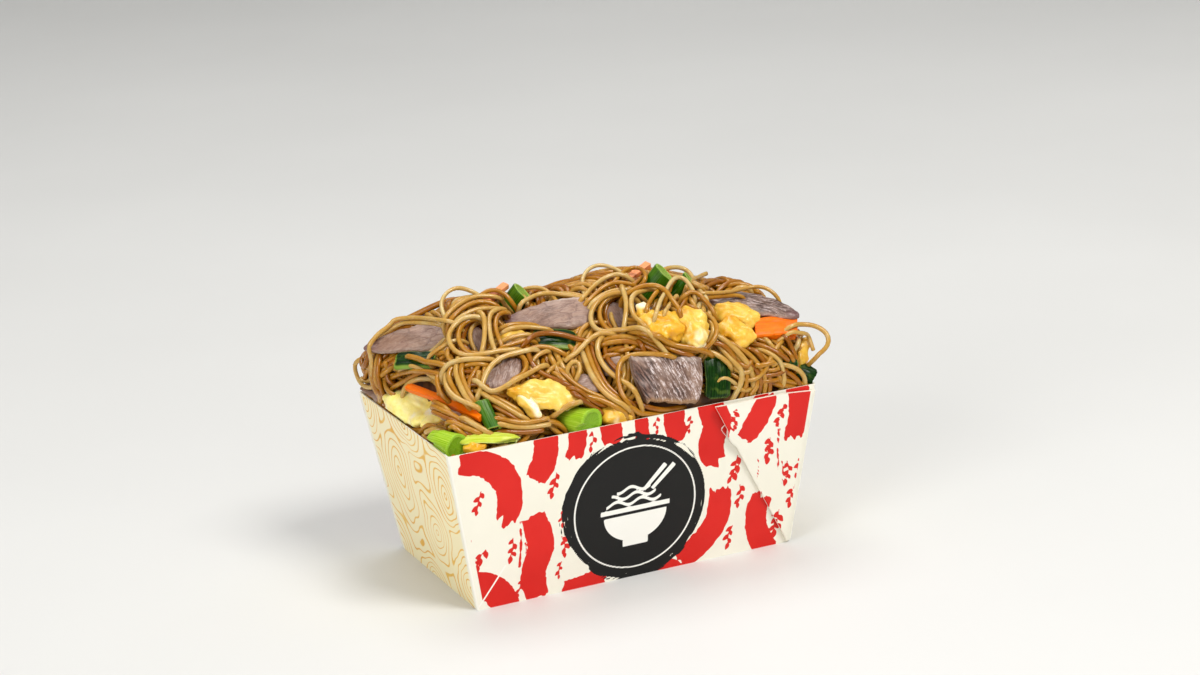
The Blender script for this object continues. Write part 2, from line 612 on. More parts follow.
def make_carton():
    rows = 112
    n_front, n_back, n_short = ((290, 170, 76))
    r = FOLD_R
    co, uvs = [], []
    ring_uv = []
    vals = {k: [] for k in KEYS}
    S = SLOPE

    def ring(z, inset, radius):
        """points of the tray's section at height z, and for each its face and place on it"""
        hx = (BASE_L + (TOP_L - BASE_L) * z / HIGH) / 2 - inset
        hy = (BASE_W + (TOP_W - BASE_W) * z / HIGH) / 2 - inset
        v = z / HIGH * S
        fx = np.linspace(-1, 1, n_front + 1) * (hx - radius)
        rx = np.linspace(-1, 1, n_back + 1) * (hx - radius)
        fy = np.linspace(-1, 1, n_short + 1) * (hy - radius)
        bx, by, cx_ = bulge(fx, v, hx), bulge(fy, v, hy), bulge(rx, v, hx)
        parts = []

        def arc(cx, cy, a0):
            out = []
            for k in range(1, 4):
                a = math.radians(a0 + 90 * k / 4)
                out.append((cx + radius * math.cos(a), cy + radius * math.sin(a)))
            return np.array(out)
        parts.append(("front", np.c_[fx, -hy - bx], fx))
        c = arc(hx - radius, -hy + radius, -90)
        parts.append(("corner", c, None))
        parts.append(("right", np.c_[hx + by, fy], fy))
        parts.append(("corner", arc(hx - radius, hy - radius, 0), None))
        parts.append(("back", np.c_[rx[::-1], hy + cx_[::-1]], -rx[::-1]))
        parts.append(("corner", arc(-hx + radius, hy - radius, 90), None))
        parts.append(("left", np.c_[-hx - by[::-1], fy[::-1]], -fy[::-1]))
        parts.append(("corner", arc(-hx + radius, -hy + radius, 180), None))
        return parts, v

    levels = np.linspace(0, HIGH, rows + 1)
    outer = []
    for z in levels:
        parts, v = ring(z, 0.0, r)
        outer.append((z, v, parts))
    names = [p[0] for p in outer[0][2]]
    count = sum(len(p[1]) for p in outer[0][2])
    for z, v, parts in outer:
        co.append(np.c_[np.vstack([p[1] for p in parts]), np.full(count, z)])
    # values face by face
    block = {k: np.zeros((rows + 1, count)) for k in KEYS}
    block["red"] += 9
    block["black"] += 9
    block["white"] += 9
    block["crease"] += 3
    block["outside"] += 1
    at = 0
    where = []
    for f, name in enumerate(names):
        m = len(outer[0][2][f][1])
        where.append((name, at, at + m))
        if name != "corner":
            U = np.array([parts[f][2] for _, _, parts in outer])
            V = np.array([np.full(m, v) for _, v, _ in outer])
            got = fields(name, U.ravel(), V.ravel())
            for k, x in got.items():
                block[k][:, at:at + m] = x.reshape(rows + 1, m)
        at += m
    for k in KEYS:
        vals[k].append(block[k].ravel())
    idx = np.arange((rows + 1) * count).reshape(rows + 1, count)
    a, b = idx[:-1], np.roll(idx, -1, 1)[:-1]
    c, d = np.roll(idx, -1, 1)[1:], idx[1:]
    quads = [np.stack([a, b, c, d], -1).reshape(-1, 4)]
    # where each outside quad lies in the bake's map, in mm: front, back, right, left
    spots = {"front": (0, 0), "back": (0, 66), "right": (0, 132), "left": (95, 132)}
    uv = np.zeros((rows, count, 4, 2))
    face_of = np.array(["" for _ in range(count)], dtype=object)
    for name, i0, i1 in where:
        face_of[i0:i1] = name
    place = np.zeros((rows + 1, count, 2))
    for name, i0, i1 in where:
        if name == "corner":
            continue
        f = [w[1] for w in where].index(i0)
        U = np.array([parts[f][2] for _, _, parts in outer])
        half = 75.5 if name in ("front", "back") else 47
        ox, oy = spots[name]
        place[:, i0:i1, 0] = U + half + ox
        place[:, i0:i1, 1] = levels[:, None] / HIGH * S + oy
    for name, i0, i1 in where:       # a corner takes the edge of the face before it
        if name == "corner":
            for k in range(i0, i1):
                place[:, k] = place[:, i0 - 1] + np.array([(k - i0 + 1) * 0.3, 0])
    nxt = np.roll(place, -1, 1)
    for i in range(count):           # the last quad of each corner stays on its own island
        name = face_of[i]
        if name == "corner" and face_of[(i + 1) % count] != "corner":
            nxt[:, i] = place[:, i] + np.array([0.3, 0])
    uv[:, :, 0], uv[:, :, 1] = place[:-1], nxt[:-1]
    uv[:, :, 2], uv[:, :, 3] = nxt[1:], place[1:]
    uv_list = [uv.reshape(-1, 2)]
    mat = [np.zeros(rows * count)]
    base = (rows + 1) * count
    # the cut edge at the rim, the inside walls and the inside floor
    depths = [HIGH, HIGH - 0.01, 44.0, 22.0, BOARD]
    rings = []
    for k, z in enumerate(depths):
        parts, _ = ring(z, BOARD, 0.35)
        if k >= 1:
            rings.append(np.c_[np.vstack([p[1] for p in parts]), np.full(count, z)])
    top = np.arange(rows * count, (rows + 1) * count)
    start = base
    prev = top
    for k, pts in enumerate(rings):
        if k == 0:
            pts = pts.copy()
            pts[:, 2] = HIGH
        co.append(pts)
        for key in KEYS:
            vals[key].append(np.full(count, {"red": 9, "black": 9, "white": 9, "crease": 3}.get(key, 0)))
        ring_idx = start + np.arange(count)
        q = np.stack([prev, np.roll(prev, -1), np.roll(ring_idx, -1), ring_idx], -1)
        quads.append(q)
        x0 = np.arange(count) / count * 150
        y0 = 200 + 8 * k
        w = 150 / count
        uv_list.append(np.stack([np.c_[x0, np.full(count, y0)], np.c_[x0 + w, np.full(count, y0)],
                                 np.c_[x0 + w, np.full(count, y0 + 7.5)], np.c_[x0, np.full(count, y0 + 7.5)]], 1).reshape(-1, 2))
        mat.append(np.full(count, 1))
        prev = ring_idx
        start += count
    inner_floor = list(prev)
    outer_floor = list(np.arange(count)[::-1])
    pts_all = np.vstack(co)
    for loop, ox, oy in ((inner_floor, 152, 0), (outer_floor, 152, 40)):
        p = pts_all[loop][:, :2]
        uv_list.append(np.c_[(p[:, 0] + 75) * 0.25 + ox, (p[:, 1] + 47) * 0.3 + oy])
        mat.append(np.array([1 if loop is inner_floor else 0]))
    quads = np.vstack(quads)
    # ---- the corner webs, folded double over the long panels
    fr, fc = ((92, 34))

    def free(v):
        t = np.clip(v / S, 0, 1)
        lock = 1.3 * np.exp(-(((v - 49.5) / 3.0) ** 4))
        return BASE_L / 2 - 1.2 + (TOP_L / 2 - FLAP_REACH - BASE_L / 2 + 1.2) * t - lock

    ngon_faces = [inner_floor, outer_floor]
    extra_quads, extra_uv, extra_mat = [], [], []
    offset = len(pts_all)
    for turn in (0, 1):
        J = np.linspace(0, 1, fr + 1)[:, None]
        I = np.linspace(0, 1, fc + 1)[None, :]
        v = 1.0 + (S - 0.3 - 1.0) * J + 0 * I
        v = v - 1.9 * J ** 4 * (1 - I) ** 3 - 0.5 * J ** 6 * (0.5 + 0.5 * np.cos(9 * I)) * 0.3
        hinge = corner_u(v) - 0.12
        u = hinge + (free(v) - hinge) * I
        d = hinge - u
        lift = 0.35 * sm(d / 3) + FLAP_LIFT * I * sm((v - 34) / 26) + 0.12 * np.sin(v * 0.16 + 1) * sm(d / 6)
        inner = -0.3 * (1 - sm(d / 1.6)) + lift + bulge(u, v, corner_u(v))
        # rounded free edge: top skin falls to the under skin over the last stations
        fall = np.clip((I - (1 - 1.6 / fc)) / (1.6 / fc), 0, 1)
        thick = FLAP_T * (1 - 0.22 * fall ** 2)
        upper = long_side(u, v, inner + thick)
        split = long_side(u, v, inner + thick * 0.5)
        lower = long_side(u, v, inner)
        got = fields("front", u.ravel(), v.ravel())
        skins = [upper.reshape(-1, 3), lower.reshape(-1, 3)]
        m = (fr + 1) * (fc + 1)
        g = np.arange(m).reshape(fr + 1, fc + 1)
        up_idx, lo_idx = g + offset, g + offset + m
        for key in KEYS:
            x = got.get(key, np.ones(m)) if key != "outside" else np.ones(m)
            if key == "crease":
                x = np.full(m, 3.0)
            vals[key].append(np.asarray(x, float))
            vals[key].append(np.full(m, {"red": 9, "black": 9, "white": 9, "crease": 3}.get(key, 0.0)))
        pts = np.vstack(skins)
        if turn:
            pts = pts * np.array([-1, -1, 1])
        co.append(pts)
        ux, vy = u + 0.0, v
        ox, oy = (152 - 30, 66 * turn)
        def put(quad_idx, uvq, material):
            extra_quads.append(quad_idx.reshape(-1, 4))
            extra_uv.append(uvq.reshape(-1, 2))
            extra_mat.append(np.full(len(quad_idx.reshape(-1, 4)), material))
        # upper skin: u falls with I, so the order is turned for outward faces
        A, B, C, D = up_idx[:-1, :-1], up_idx[:-1, 1:], up_idx[1:, 1:], up_idx[1:, :-1]
        mapx = (u - 31) + 152 + (46 if False else 0)
        mapy = vy + 66 + 66 * turn - 66 * 0
        P = np.stack([mapx, mapy], -1)
        put(np.stack([A, D, C, B], -1), np.stack([P[:-1, :-1], P[1:, :-1], P[1:, 1:], P[:-1, 1:]], 2), 0)
        A, B, C, D = lo_idx[:-1, :-1], lo_idx[:-1, 1:], lo_idx[1:, 1:], lo_idx[1:, :-1]
        Q = np.stack([(u - 31) * 0.2 + 152 + 10 * turn, vy * 0.2 + 199], -1)
        put(np.stack([A, B, C, D], -1), np.stack([Q[:-1, :-1], Q[:-1, 1:], Q[1:, 1:], Q[1:, :-1]], 2), 1)

        def rim(up_line, lo_line, k):
            n1 = len(up_line) - 1
            x0 = np.arange(n1) / n1 * 40 + 152
            y0 = 215 + 4 * k + 16 * turn
            q = np.stack([up_line[:-1], up_line[1:], lo_line[1:], lo_line[:-1]], -1)
            w = 40 / n1
            put(q, np.stack([np.c_[x0, np.full(n1, y0)], np.c_[x0 + w, np.full(n1, y0)],
                             np.c_[x0 + w, np.full(n1, y0 + 3.0)], np.c_[x0, np.full(n1, y0 + 3.0)]], 1), 1)
        rim(up_idx[::-1, -1], lo_idx[::-1, -1], 0)      # free edge
        rim(up_idx[:, 0], lo_idx[:, 0], 1)              # hinge
        rim(up_idx[-1, :], lo_idx[-1, :], 2)            # top
        rim(up_idx[0, ::-1], lo_idx[0, ::-1], 3)        # foot
        offset += 2 * m
    # order: quads, flap quads, then the two n-gons
    flap_quads = np.vstack(extra_quads)
    uv_all = np.vstack([uv_list[k] for k in range(len(uv_list) - 2)] + extra_uv + uv_list[-2:])
    mats = np.concatenate(mat[:-2] + extra_mat + mat[-2:])
    ob = make_mesh("carton_board", np.vstack(co), quads=np.vstack([quads, flap_quads]), ngons=ngon_faces,
                   attrs={k: np.concatenate(vals[k]) for k in KEYS}, material_index=mats,
                   uv=uv_all / 234.0, smooth=True)
    me = ob.data
    # outward faces everywhere, and sharp cut edges
    import bmesh
    bm = bmesh.new()
    bm.from_mesh(me)
    bmesh.ops.recalc_face_normals(bm, faces=bm.faces[:])
    for e in bm.edges:
        if len(e.link_faces) == 2 and e.calc_face_angle(0) > math.radians(50):
            e.smooth = False
    bm.to_mesh(me)
    bm.free()

    # ---- printed face
    m = Mat("printed_board")
    pos = m.coord()
    fibre = m.noise(pos, 900.0, 3.0, 0.6)
    cloud = m.noise(pos, 22.0, 3.0)
    cream = m.mix(m.range(cloud, 0.3, 0.7), rgb(243, 240, 226), rgb(238, 235, 219))
    cream = m.mix(m.attr("banded"), cream, rgb(246, 234, 192))
    per = m.math("FRACT", m.attr("contour"))
    dist = m.math("ABSOLUTE", m.math("SUBTRACT", per, 0.5))
    wide = m.range(m.noise(pos, 60.0, 2.0), 0.3, 0.75, 0.055, 0.135)
    line = m.math("SUBTRACT", 1.0, m.range(m.math("SUBTRACT", dist, wide), -0.05, 0.06, smooth=True))
    line = m.math("MULTIPLY", line, m.attr("banded"))
    gold = m.mix(m.range(m.noise(pos, 90.0, 2.0), 0.35, 0.7), rgb(230, 172, 44), rgb(238, 196, 88))
    col = m.mix(line, cream, gold)
    red = m.mix(m.range(m.noise(pos, 35.0, 3.0), 0.3, 0.7), rgb(206, 21, 12), rgb(218, 31, 22))
    col = m.mix(m.range(m.attr("red"), 0.07, -0.07), col, red)
    dark = m.mix(m.range(fibre, 0.3, 0.7), rgb(7, 7, 6), rgb(12, 12, 10))
    col = m.mix(m.range(m.attr("black"), 0.07, -0.07), col, dark)
    col = m.mix(m.range(m.attr("white"), 0.07, -0.07), col, rgb(244, 243, 236))
    col = m.mix(m.range(m.attr("crease"), 0.10, -0.05), col, rgb(250, 247, 238))
    wear = m.range(m.math("ADD", m.attr("edge"), m.range(fibre, 0.2, 0.8, -0.25, 0.25)), 0.05, 0.45, 0.55, 0.0)
    col = m.mix(wear, col, rgb(252, 250, 243))
    m.set(color=col, rough=m.range(fibre, 0.2, 0.8, 0.40, 0.50), spec=0.3,
          normal=m.bump(m.math("ADD", m.math("MULTIPLY", fibre, 0.25), cloud), 0.10, 0.0006))
    ob.data.materials.append(m.m)
    # ---- bare board: the cut edges and the inside
    m = Mat("bare_board")
    pos = m.coord()
    fibre = m.noise(m.scaled(pos, (1, 1, 2.2)), 420.0, 4.0, 0.65)
    m.set(color=m.ramp(fibre, [(0.3, rgb(226, 220, 203)), (0.7, rgb(242, 238, 226))]), rough=0.62, spec=0.35,
          normal=m.bump(fibre, 0.12, 0.0004))
    ob.data.materials.append(m.m)
    return finish_piece(ob, ["carton"])


make_carton()


# ------------------------------------------------------------------ toppings
def row(kind, name, at, along, up, size, **more):
    return dict(kind=kind, name=name, at=np.array(at, float), along=np.array(along, float), up=np.array(up, float),
                size=size, **more)


ROWS = [
    row('beef', 'beef_slice_1', at=[-63.7, 14.8, 90.1], along=[0.875, -0.468, 0.124], up=[-0.331, -0.39, 0.859], size=[36.0, 14.2, 3.6], b=0.1, bend=0.6, a=0.62),
    row('beef', 'beef_slice_2', at=[-16.7, -8.2, 97.0], along=[0.962, -0.272, 0.015], up=[-0.168, -0.551, 0.818], size=[33.3, 13.8, 3.8], b=0.1, bend=0.6, a=0.6),
    row('beef', 'beef_slice_3', at=[62.3, -20.2, 90.1], along=[0.593, -0.798, -0.109], up=[0.05, -0.099, 0.994], size=[40.3, 20.0, 4.6], b=0.35, bend=1.2, a=0.15),
    row('beef', 'beef_slice_4', at=[14.1, -42.6, 75.7], along=[0.97, -0.185, -0.157], up=[-0.102, -0.898, 0.428], size=[29.3, 16.9, 4.6], b=0.07, bend=0.5, a=0.1, n=4),
    row('beef', 'beef_slice_5', at=[-44.1, -27.8, 84.5], along=[0.887, 0.321, 0.331], up=[-0.02, -0.691, 0.723], size=[18.6, 8.4, 3.4], b=0.25, bend=0.4, a=0.25),
    row('beef', 'beef_slice_6', at=[-14.0, -35.2, 77.0], along=[0.686, -0.593, -0.421], up=[-0.155, -0.684, 0.713], size=[10.3, 6.7, 3.2], b=0.2, bend=0.3, a=0.2),
    row('beef', 'beef_slice_7', at=[-73.5, 33.5, 66.3], along=[0.382, -0.913, -0.144], up=[-0.362, -0.292, 0.885], size=[13.9, 6.0, 3.0], b=0.25, bend=0.3, a=0.25),
    row('beef', 'beef_slice_8', at=[-47.0, -9.5, 93.6], along=[-0.246, -0.639, -0.729], up=[-0.134, -0.723, 0.678], size=[11.2, 6.3, 3.0], b=0.2, bend=0.3, a=0.2),
    row('beef', 'beef_slice_9', at=[7.8, -14.9, 93.8], along=[-0.214, -0.696, -0.685], up=[-0.304, -0.62, 0.724], size=[13.6, 6.8, 3.0], b=0.2, bend=0.3, a=0.2),
    row('beef', 'beef_slice_10', at=[-2.2, -32.1, 81.1], along=[0.894, -0.437, -0.096], up=[-0.296, -0.738, 0.607], size=[8.5, 7.9, 3.0], b=0.2, bend=0.3, a=0.2),
    row('beef', 'beef_slice_11', at=[-67.0, -29.7, 74.7], along=[0.655, -0.717, -0.24], up=[-0.277, -0.523, 0.806], size=[12.2, 5.5, 3.0], b=0.2, bend=0.3, a=0.2),
    row('egg', 'egg_piece_1', at=[-70.9, -0.6, 65.5], along=[0.384, -0.921, -0.066], up=[-0.319, -0.199, 0.927], size=[31.7, 9.5, 6.0], b=0.25, seed=1, a=0.3),
    row('egg', 'egg_piece_2', at=[-33.0, -38.2, 76.9], along=[0.935, -0.221, -0.277], up=[0.04, -0.711, 0.703], size=[26.2, 10.8, 6.5], b=0.3, seed=2, a=0.3, lobes=[[[-39.8, -40.3, 75.5], [0.405, -0.631, -0.661], 13.1, 5.0, 4.5]]),
    row('egg', 'egg_piece_3', at=[17.4, -34.0, 93.4], along=[0.799, -0.559, -0.22], up=[-0.256, -0.649, 0.717], size=[17.9, 12.3, 8.0], b=0.3, seed=3, a=0.25, lobes=[[[13.2, -27.4, 98.2], [-0.423, -0.591, -0.686], 8.2, 4.2, 5.0], [[29.0, -36.8, 91.9], [0.014, -0.744, -0.668], 17.9, 10.3, 7.0]]),
    row('egg', 'egg_piece_4', at=[52.4, -27.6, 92.0], along=[0.803, -0.537, -0.259], up=[-0.034, -0.475, 0.879], size=[19.1, 12.4, 6.5], b=0.25, seed=4, a=0.25),
    row('egg', 'egg_piece_5', at=[47.4, -36.7, 86.7], along=[0.782, -0.533, -0.323], up=[-0.067, -0.588, 0.806], size=[16.1, 10.3, 6.0], b=0.3, seed=5, a=0.25),
    row('egg', 'egg_piece_6', at=[-6.5, -42.4, 65.5], along=[0.981, -0.18, -0.074], up=[-0.05, -0.599, 0.799], size=[12.2, 9.5, 7.0], b=0.3, seed=6, a=0.3),
    row('egg', 'egg_piece_7', at=[-63.1, -43.3, 64.4], along=[0.972, -0.23, 0.049], up=[-0.154, -0.464, 0.872], size=[8.8, 4.8, 4.0], b=0.3, seed=7, a=0.3),
    row('egg', 'egg_piece_8', at=[-35.0, -17.3, 94.5], along=[0.919, -0.38, -0.1], up=[-0.165, -0.604, 0.779], size=[12.6, 9.5, 6.0], b=0.3, seed=8, a=0.3),
    row('egg', 'egg_piece_9', at=[74.6, -37.0, 74.0], along=[-0.514, -0.395, -0.761], up=[0.101, -0.909, 0.404], size=[12.9, 5.5, 5.0], b=0.2, seed=9, a=0.3),
    row('tube', 'green_onion_1', at=[31.5, -8.7, 100.8], along=[0.849, -0.489, -0.202], up=[-0.043, -0.445, 0.895], size=[16.2, 9.9, 9.9], skew=0.35),
    row('tube', 'green_onion_2', at=[-22.8, 7.9, 98.9], along=[0.902, -0.428, -0.054], up=[-0.101, -0.332, 0.938], size=[12.9, 10.2, 10.2], skew=0.35),
    row('tube', 'green_onion_3', at=[-56.0, -39.8, 74.4], along=[0.112, -0.67, -0.734], up=[-0.186, -0.74, 0.647], size=[11.5, 5.6, 4.5], skew=0.15, n=2.6),
    row('tube', 'green_onion_4', at=[-22.5, -40.8, 65.6], along=[0.98, -0.2, 0.0], up=[-0.121, -0.593, 0.796], size=[13.9, 8.8, 8.8], skew=0.1),
    row('tube', 'green_onion_5', at=[-69.0, -33.5, 66.4], along=[0.502, -0.863, 0.05], up=[-0.409, -0.186, 0.893], size=[13.7, 7.8, 7.8], skew=0.1),
    row('leaf', 'leek_strip_1', at=[-57.3, -43.8, 66.1], along=[0.934, -0.347, -0.083], up=[-0.156, -0.606, 0.78], size=[21.7, 4.3, 2.4], bend=2.0),
    row('leaf', 'green_leaf_1', at=[34.8, -43.6, 73.1], along=[-0.183, -0.32, -0.93], up=[-0.0, -0.946, 0.325], size=[15.3, 10.6, 4.0], bend=1.0),
    row('leaf', 'green_leaf_2', at=[73.9, -42.5, 66.8], along=[0.779, -0.367, -0.509], up=[-0.053, -0.847, 0.529], size=[7.7, 6.6, 4.0], bend=0.5),
    row('leaf', 'green_leaf_3', at=[65.2, -43.2, 73.7], along=[0.954, -0.252, -0.165], up=[-0.105, -0.793, 0.6], size=[7.0, 4.1, 2.5], bend=0.3),
    row('leaf', 'green_leaf_4', at=[-67.0, 1.7, 86.0], along=[0.768, -0.64, 0.025], up=[-0.397, -0.445, 0.802], size=[15.3, 8.3, 2.2], bend=0.8),
    row('leaf', 'green_leaf_5', at=[-18.7, -19.8, 91.1], along=[0.974, -0.167, -0.156], up=[0.003, -0.674, 0.739], size=[16.5, 8.9, 2.2], bend=0.8),
    row('stick', 'carrot_stick_1', at=[-65.3, -20.6, 76.3], along=[0.313, -0.946, -0.089], up=[-0.407, -0.218, 0.887], size=[41.7, 3.8, 3.4]),
    row('stick', 'carrot_stick_2', at=[64.6, -35.0, 84.7], along=[0.987, -0.148, -0.068], up=[-0.037, -0.612, 0.79], size=[16.8, 8.9, 5.0], skew=0.25),
    row('stick', 'carrot_stick_3', at=[-31.7, 6.1, 105.0], along=[0.831, 0.501, 0.24], up=[-0.078, -0.322, 0.943], size=[14.8, 4.6, 3.4]),
    row('stick', 'carrot_stick_4', at=[26.6, 4.4, 104.1], along=[0.876, 0.432, 0.217], up=[-0.064, -0.342, 0.937], size=[14.2, 4.7, 3.4]),
    row('beef', 'beef_slice_12', at=[-38.0, 29.0, 91.8], along=[0.962, 0.192, -0.196], up=[0.031, 0.633, 0.773], size=[36.0, 15.0, 3.6], a=0.55, b=0.12, bend=0.6),
    row('beef', 'beef_slice_13', at=[26.0, 31.0, 91.0], along=[0.99, -0.14, -0.0], up=[0.095, 0.671, 0.735], size=[30.0, 18.0, 4.2], a=0.12, b=0.1, bend=0.5, n=4),
    row('beef', 'beef_slice_14', at=[-9.0, 40.0, 79.5], along=[0.944, 0.215, -0.25], up=[-0.019, 0.793, 0.609], size=[20.0, 11.0, 3.4], a=0.3, b=0.2, bend=0.4),
    row('egg', 'egg_piece_10', at=[2.0, 28.0, 92.9], along=[0.952, -0.155, 0.266], up=[-0.12, 0.609, 0.784], size=[22.0, 11.0, 6.5], a=0.3, b=0.3, seed=11),
    row('egg', 'egg_piece_11', at=[-60.0, 34.0, 85.9], along=[0.782, 0.527, -0.334], up=[-0.155, 0.683, 0.714], size=[20.0, 11.0, 6.0], a=0.3, b=0.3, seed=12),
    row('egg', 'egg_piece_12', at=[56.0, 34.0, 82.1], along=[0.98, 0.021, -0.199], up=[0.144, 0.618, 0.773], size=[20.0, 11.0, 6.0], a=0.3, b=0.3, seed=13),
    row('tube', 'green_onion_6', at=[-27.0, 42.0, 76.1], along=[0.996, -0.085, 0.037], up=[0.05, 0.83, 0.556], size=[14.0, 8.5, 8.5], skew=0.2),
    row('tube', 'green_onion_7', at=[45.0, 26.0, 88.8], along=[0.438, 0.703, -0.56], up=[0.245, 0.507, 0.827], size=[13.0, 8.0, 8.0], skew=0.3),
    row('leaf', 'green_leaf_6', at=[14.0, 42.0, 77.5], along=[0.994, 0.07, -0.088], up=[-0.012, 0.847, 0.531], size=[16.0, 8.0, 2.6], bend=0.8),
    row('stick', 'carrot_stick_5', at=[-14.0, 28.0, 91.6], along=[-0.959, 0.214, -0.189], up=[-0.028, 0.589, 0.807], size=[22.0, 3.6, 3.4]),
    row('stick', 'carrot_stick_6', at=[66.0, 22.0, 86.7], along=[-0.295, 0.932, -0.21], up=[0.455, 0.33, 0.827], size=[14.0, 7.0, 4.6], skew=0.25),
]
FINER = {
    "green_onion_4": dict(at=(-21.9, -40.0, 66.2), along=(0.45, -0.89, -0.03), size=(15.4, 11.8, 11.0), dome=0.34, skew=0.10,
                          plug=(0.40, 0.35, 0.6)),
    "green_onion_5": dict(at=(-71.8, -36.2, 65.8), along=(0.33, -0.94, -0.045), size=(12.8, 10.4, 9.8), dome=0.28, skew=0.10,
                          plug=(0.50, 0.35, 0.6)),
    "beef_slice_11": dict(at=(-66.6, -30.6, 73.4), size=(9.5, 4.6, 2.6)),
    "egg_piece_8": dict(at=(-34.5, -17.0, 93.4), size=(11.5, 8.0, 5.0)),
    "egg_piece_1": dict(at=(-68.2, -0.6, 69.2), up=(-0.24, -0.60, 0.76), size=(36.0, 15.0, 7.0), a=0.22, b=0.22),
    "egg_piece_2": dict(size=(28.4, 11.2, 6.5)),
    "egg_piece_4": dict(at=(52.4, -27.6, 90.2), size=(18.6, 10.6, 6.0)),
    "beef_slice_3": dict(size=(40.3, 16.5, 4.4), a=0.30),
    "beef_slice_4": dict(size=(30.0, 17.2, 4.6), n=6.0, a=0.05, b=0.05),
    "green_onion_1": dict(at=(27.7, -7.0, 100.9), along=(0.551, -0.314, 0.760), up=(-0.34, -0.88, 0.31), size=(14.8, 9.0, 8.0),
                          skew=0.12, plug=(0.08, 0.75, 0.5)),
    "green_onion_2": dict(at=(-24.1, 8.5, 99.0), along=(0.551, -0.314, 0.760), up=(-0.34, -0.88, 0.31), size=(13.6, 8.6, 7.6),
                          skew=0.12, plug=(0.08, 0.75, 0.5)),
    "carrot_stick_1": dict(size=(41.7, 2.9, 2.5)),
    "carrot_stick_3": dict(size=(14.8, 2.9, 2.3)),
    "carrot_stick_4": dict(size=(14.2, 2.9, 2.3)),
}
ROWS.append(dict(name="green_onion_8", kind="tube", extra=True, at=np.array((37.7, -8.8, 98.4)), along=np.array((0.551, -0.314, 0.760)),
                 up=np.array((-0.34, -0.88, 0.31)), size=(12.6, 5.2, 4.6), skew=0.2, plug=(0.08, 0.75, 0.5)))
for _r in ROWS:
    for _k, _v in FINER.get(_r["name"], {}).items():
        _r[_k] = np.array(_v, float) if _k in ("at", "along", "up") else _v
FORMS = {
    "beef": dict(n=3.0), "egg": dict(n=2.4), "tube": dict(n=2.0, flat=True),
    "leaf": dict(n=2.6, a=0.12, b=0.12), "stick": dict(n=8.0, flat=True),
}


def frame_of(along, up):
    x = unit(along)
    z = np.asarray(up, float)
    z = unit(z - z.dot(x) * x)
    return x, np.cross(z, x), z


def grid_normals(P):
    """normals of a (stations, sides, 3) grid that closes round its sides"""
    du = np.gradient(P, axis=0)
    dv = (np.roll(P, -1, 1) - np.roll(P, 1, 1)) / 2
    n = unit(np.cross(dv, du))
    centre = P.mean(axis=1, keepdims=True)
    flip = np.sign(np.sum(n * (P - centre), -1).mean())
    return n * (flip if flip != 0 else 1)


def lump(at, along, up, size, a=0.3, b=0.3, bend=0.0, skew=0.0, n=3.0, seed=0, sides=56, stations=56, flat=False,
         grow=0.0, **_):
    """the grid of one lump, with its own coordinates in mm: along, across, up"""
    x, y, z = frame_of(along, up)
    L, W, T = size[0] + 2 * grow, size[1] + 2 * grow, size[2] + 2 * grow
    j = np.arange(stations)
    s = (j / (stations - 1)) if flat else 0.5 - 0.5 * np.cos(np.pi * (j + 0.5) / stations)
    s = s[:, None]
    taper = np.ones_like(s) if flat else np.minimum(1, (s / a) ** 0.55) * np.minimum(1, ((1 - s) / b) ** 0.55)
    t = (2 * np.pi * (np.arange(sides) + 0.5) / sides)[None, :]
    c, d = np.cos(t), np.sin(t)
    k = (np.abs(c) ** n + np.abs(d) ** n) ** (-1.0 / n)
    lumpy = 1 + 0.14 * np.sin(3 * t + seed + 7 * s) + 0.10 * np.sin(11 * s + 2 * seed + t) if seed else 1.0
    v = (W / 2) * taper * k * c * lumpy
    h = (T / 2) * np.sqrt(taper) * k * d * lumpy
    along1 = (s - 0.5) * L + skew * v
    rise = bend * (1 - (2 * s - 1) ** 2) + 0 * v
    P = at + along1[..., None] * x + v[..., None] * y + (h + rise)[..., None] * z
    return P, np.stack([along1 + 0 * v, v, h + rise], -1), (x, y, z)


def close(P, extra=None):
    """vertices and faces of a grid with a point at each end"""
    m, n = P.shape[:2]
    first, last = P[0].mean(0), P[-1].mean(0)
    co = np.vstack([P.reshape(-1, 3), first, last])
    idx = np.arange(m * n).reshape(m, n)
    a, b = idx[:-1], np.roll(idx, -1, 1)[:-1]
    c, d = np.roll(idx, -1, 1)[1:], idx[1:]
    quads = np.stack([a, b, c, d], -1).reshape(-1, 4)
    t0 = np.stack([np.full(n, m * n), np.roll(idx[0], -1), idx[0]], -1)
    t1 = np.stack([np.full(n, m * n + 1), idx[-1], np.roll(idx[-1], -1)], -1)
    return co, quads, np.vstack([t0, t1])


def with_ends(values):
    """per-vertex values of a grid, with the two end points appended"""
    m = values.shape[0]
    flat = values.reshape(-1, *values.shape[2:])
    return np.concatenate([flat, values[:1].mean(1), values[-1:].mean(1)])


class Bits:
    """several grids gathered into one mesh"""

    def __init__(self):
        self.co, self.quads, self.tris, self.attrs, self.n = [], [], [], {}, 0

    def add(self, P, **attrs):
        co, q, t = close(P)
        self.co.append(co)
        self.quads.append(q + self.n)
        self.tris.append(t + self.n)
        for k, v in attrs.items():
            v = np.asarray(v, float)
            if v.ndim == 0:
                v = np.full(len(co), float(v))
            else:
                v = with_ends(v)
            self.attrs.setdefault(k, []).append(v)
        self.n += len(co)

    def make(self, name, smooth=True):
        ob = make_mesh(name, np.vstack(self.co), np.vstack(self.quads), np.vstack(self.tris),
                       attrs={k: np.concatenate(v) for k, v in self.attrs.items()}, smooth=smooth)
        import bmesh
        bm = bmesh.new()
        bm.from_mesh(ob.data)
        bmesh.ops.recalc_face_normals(bm, faces=bm.faces[:])
        bm.to_mesh(ob.data)
        bm.free()
        return ob


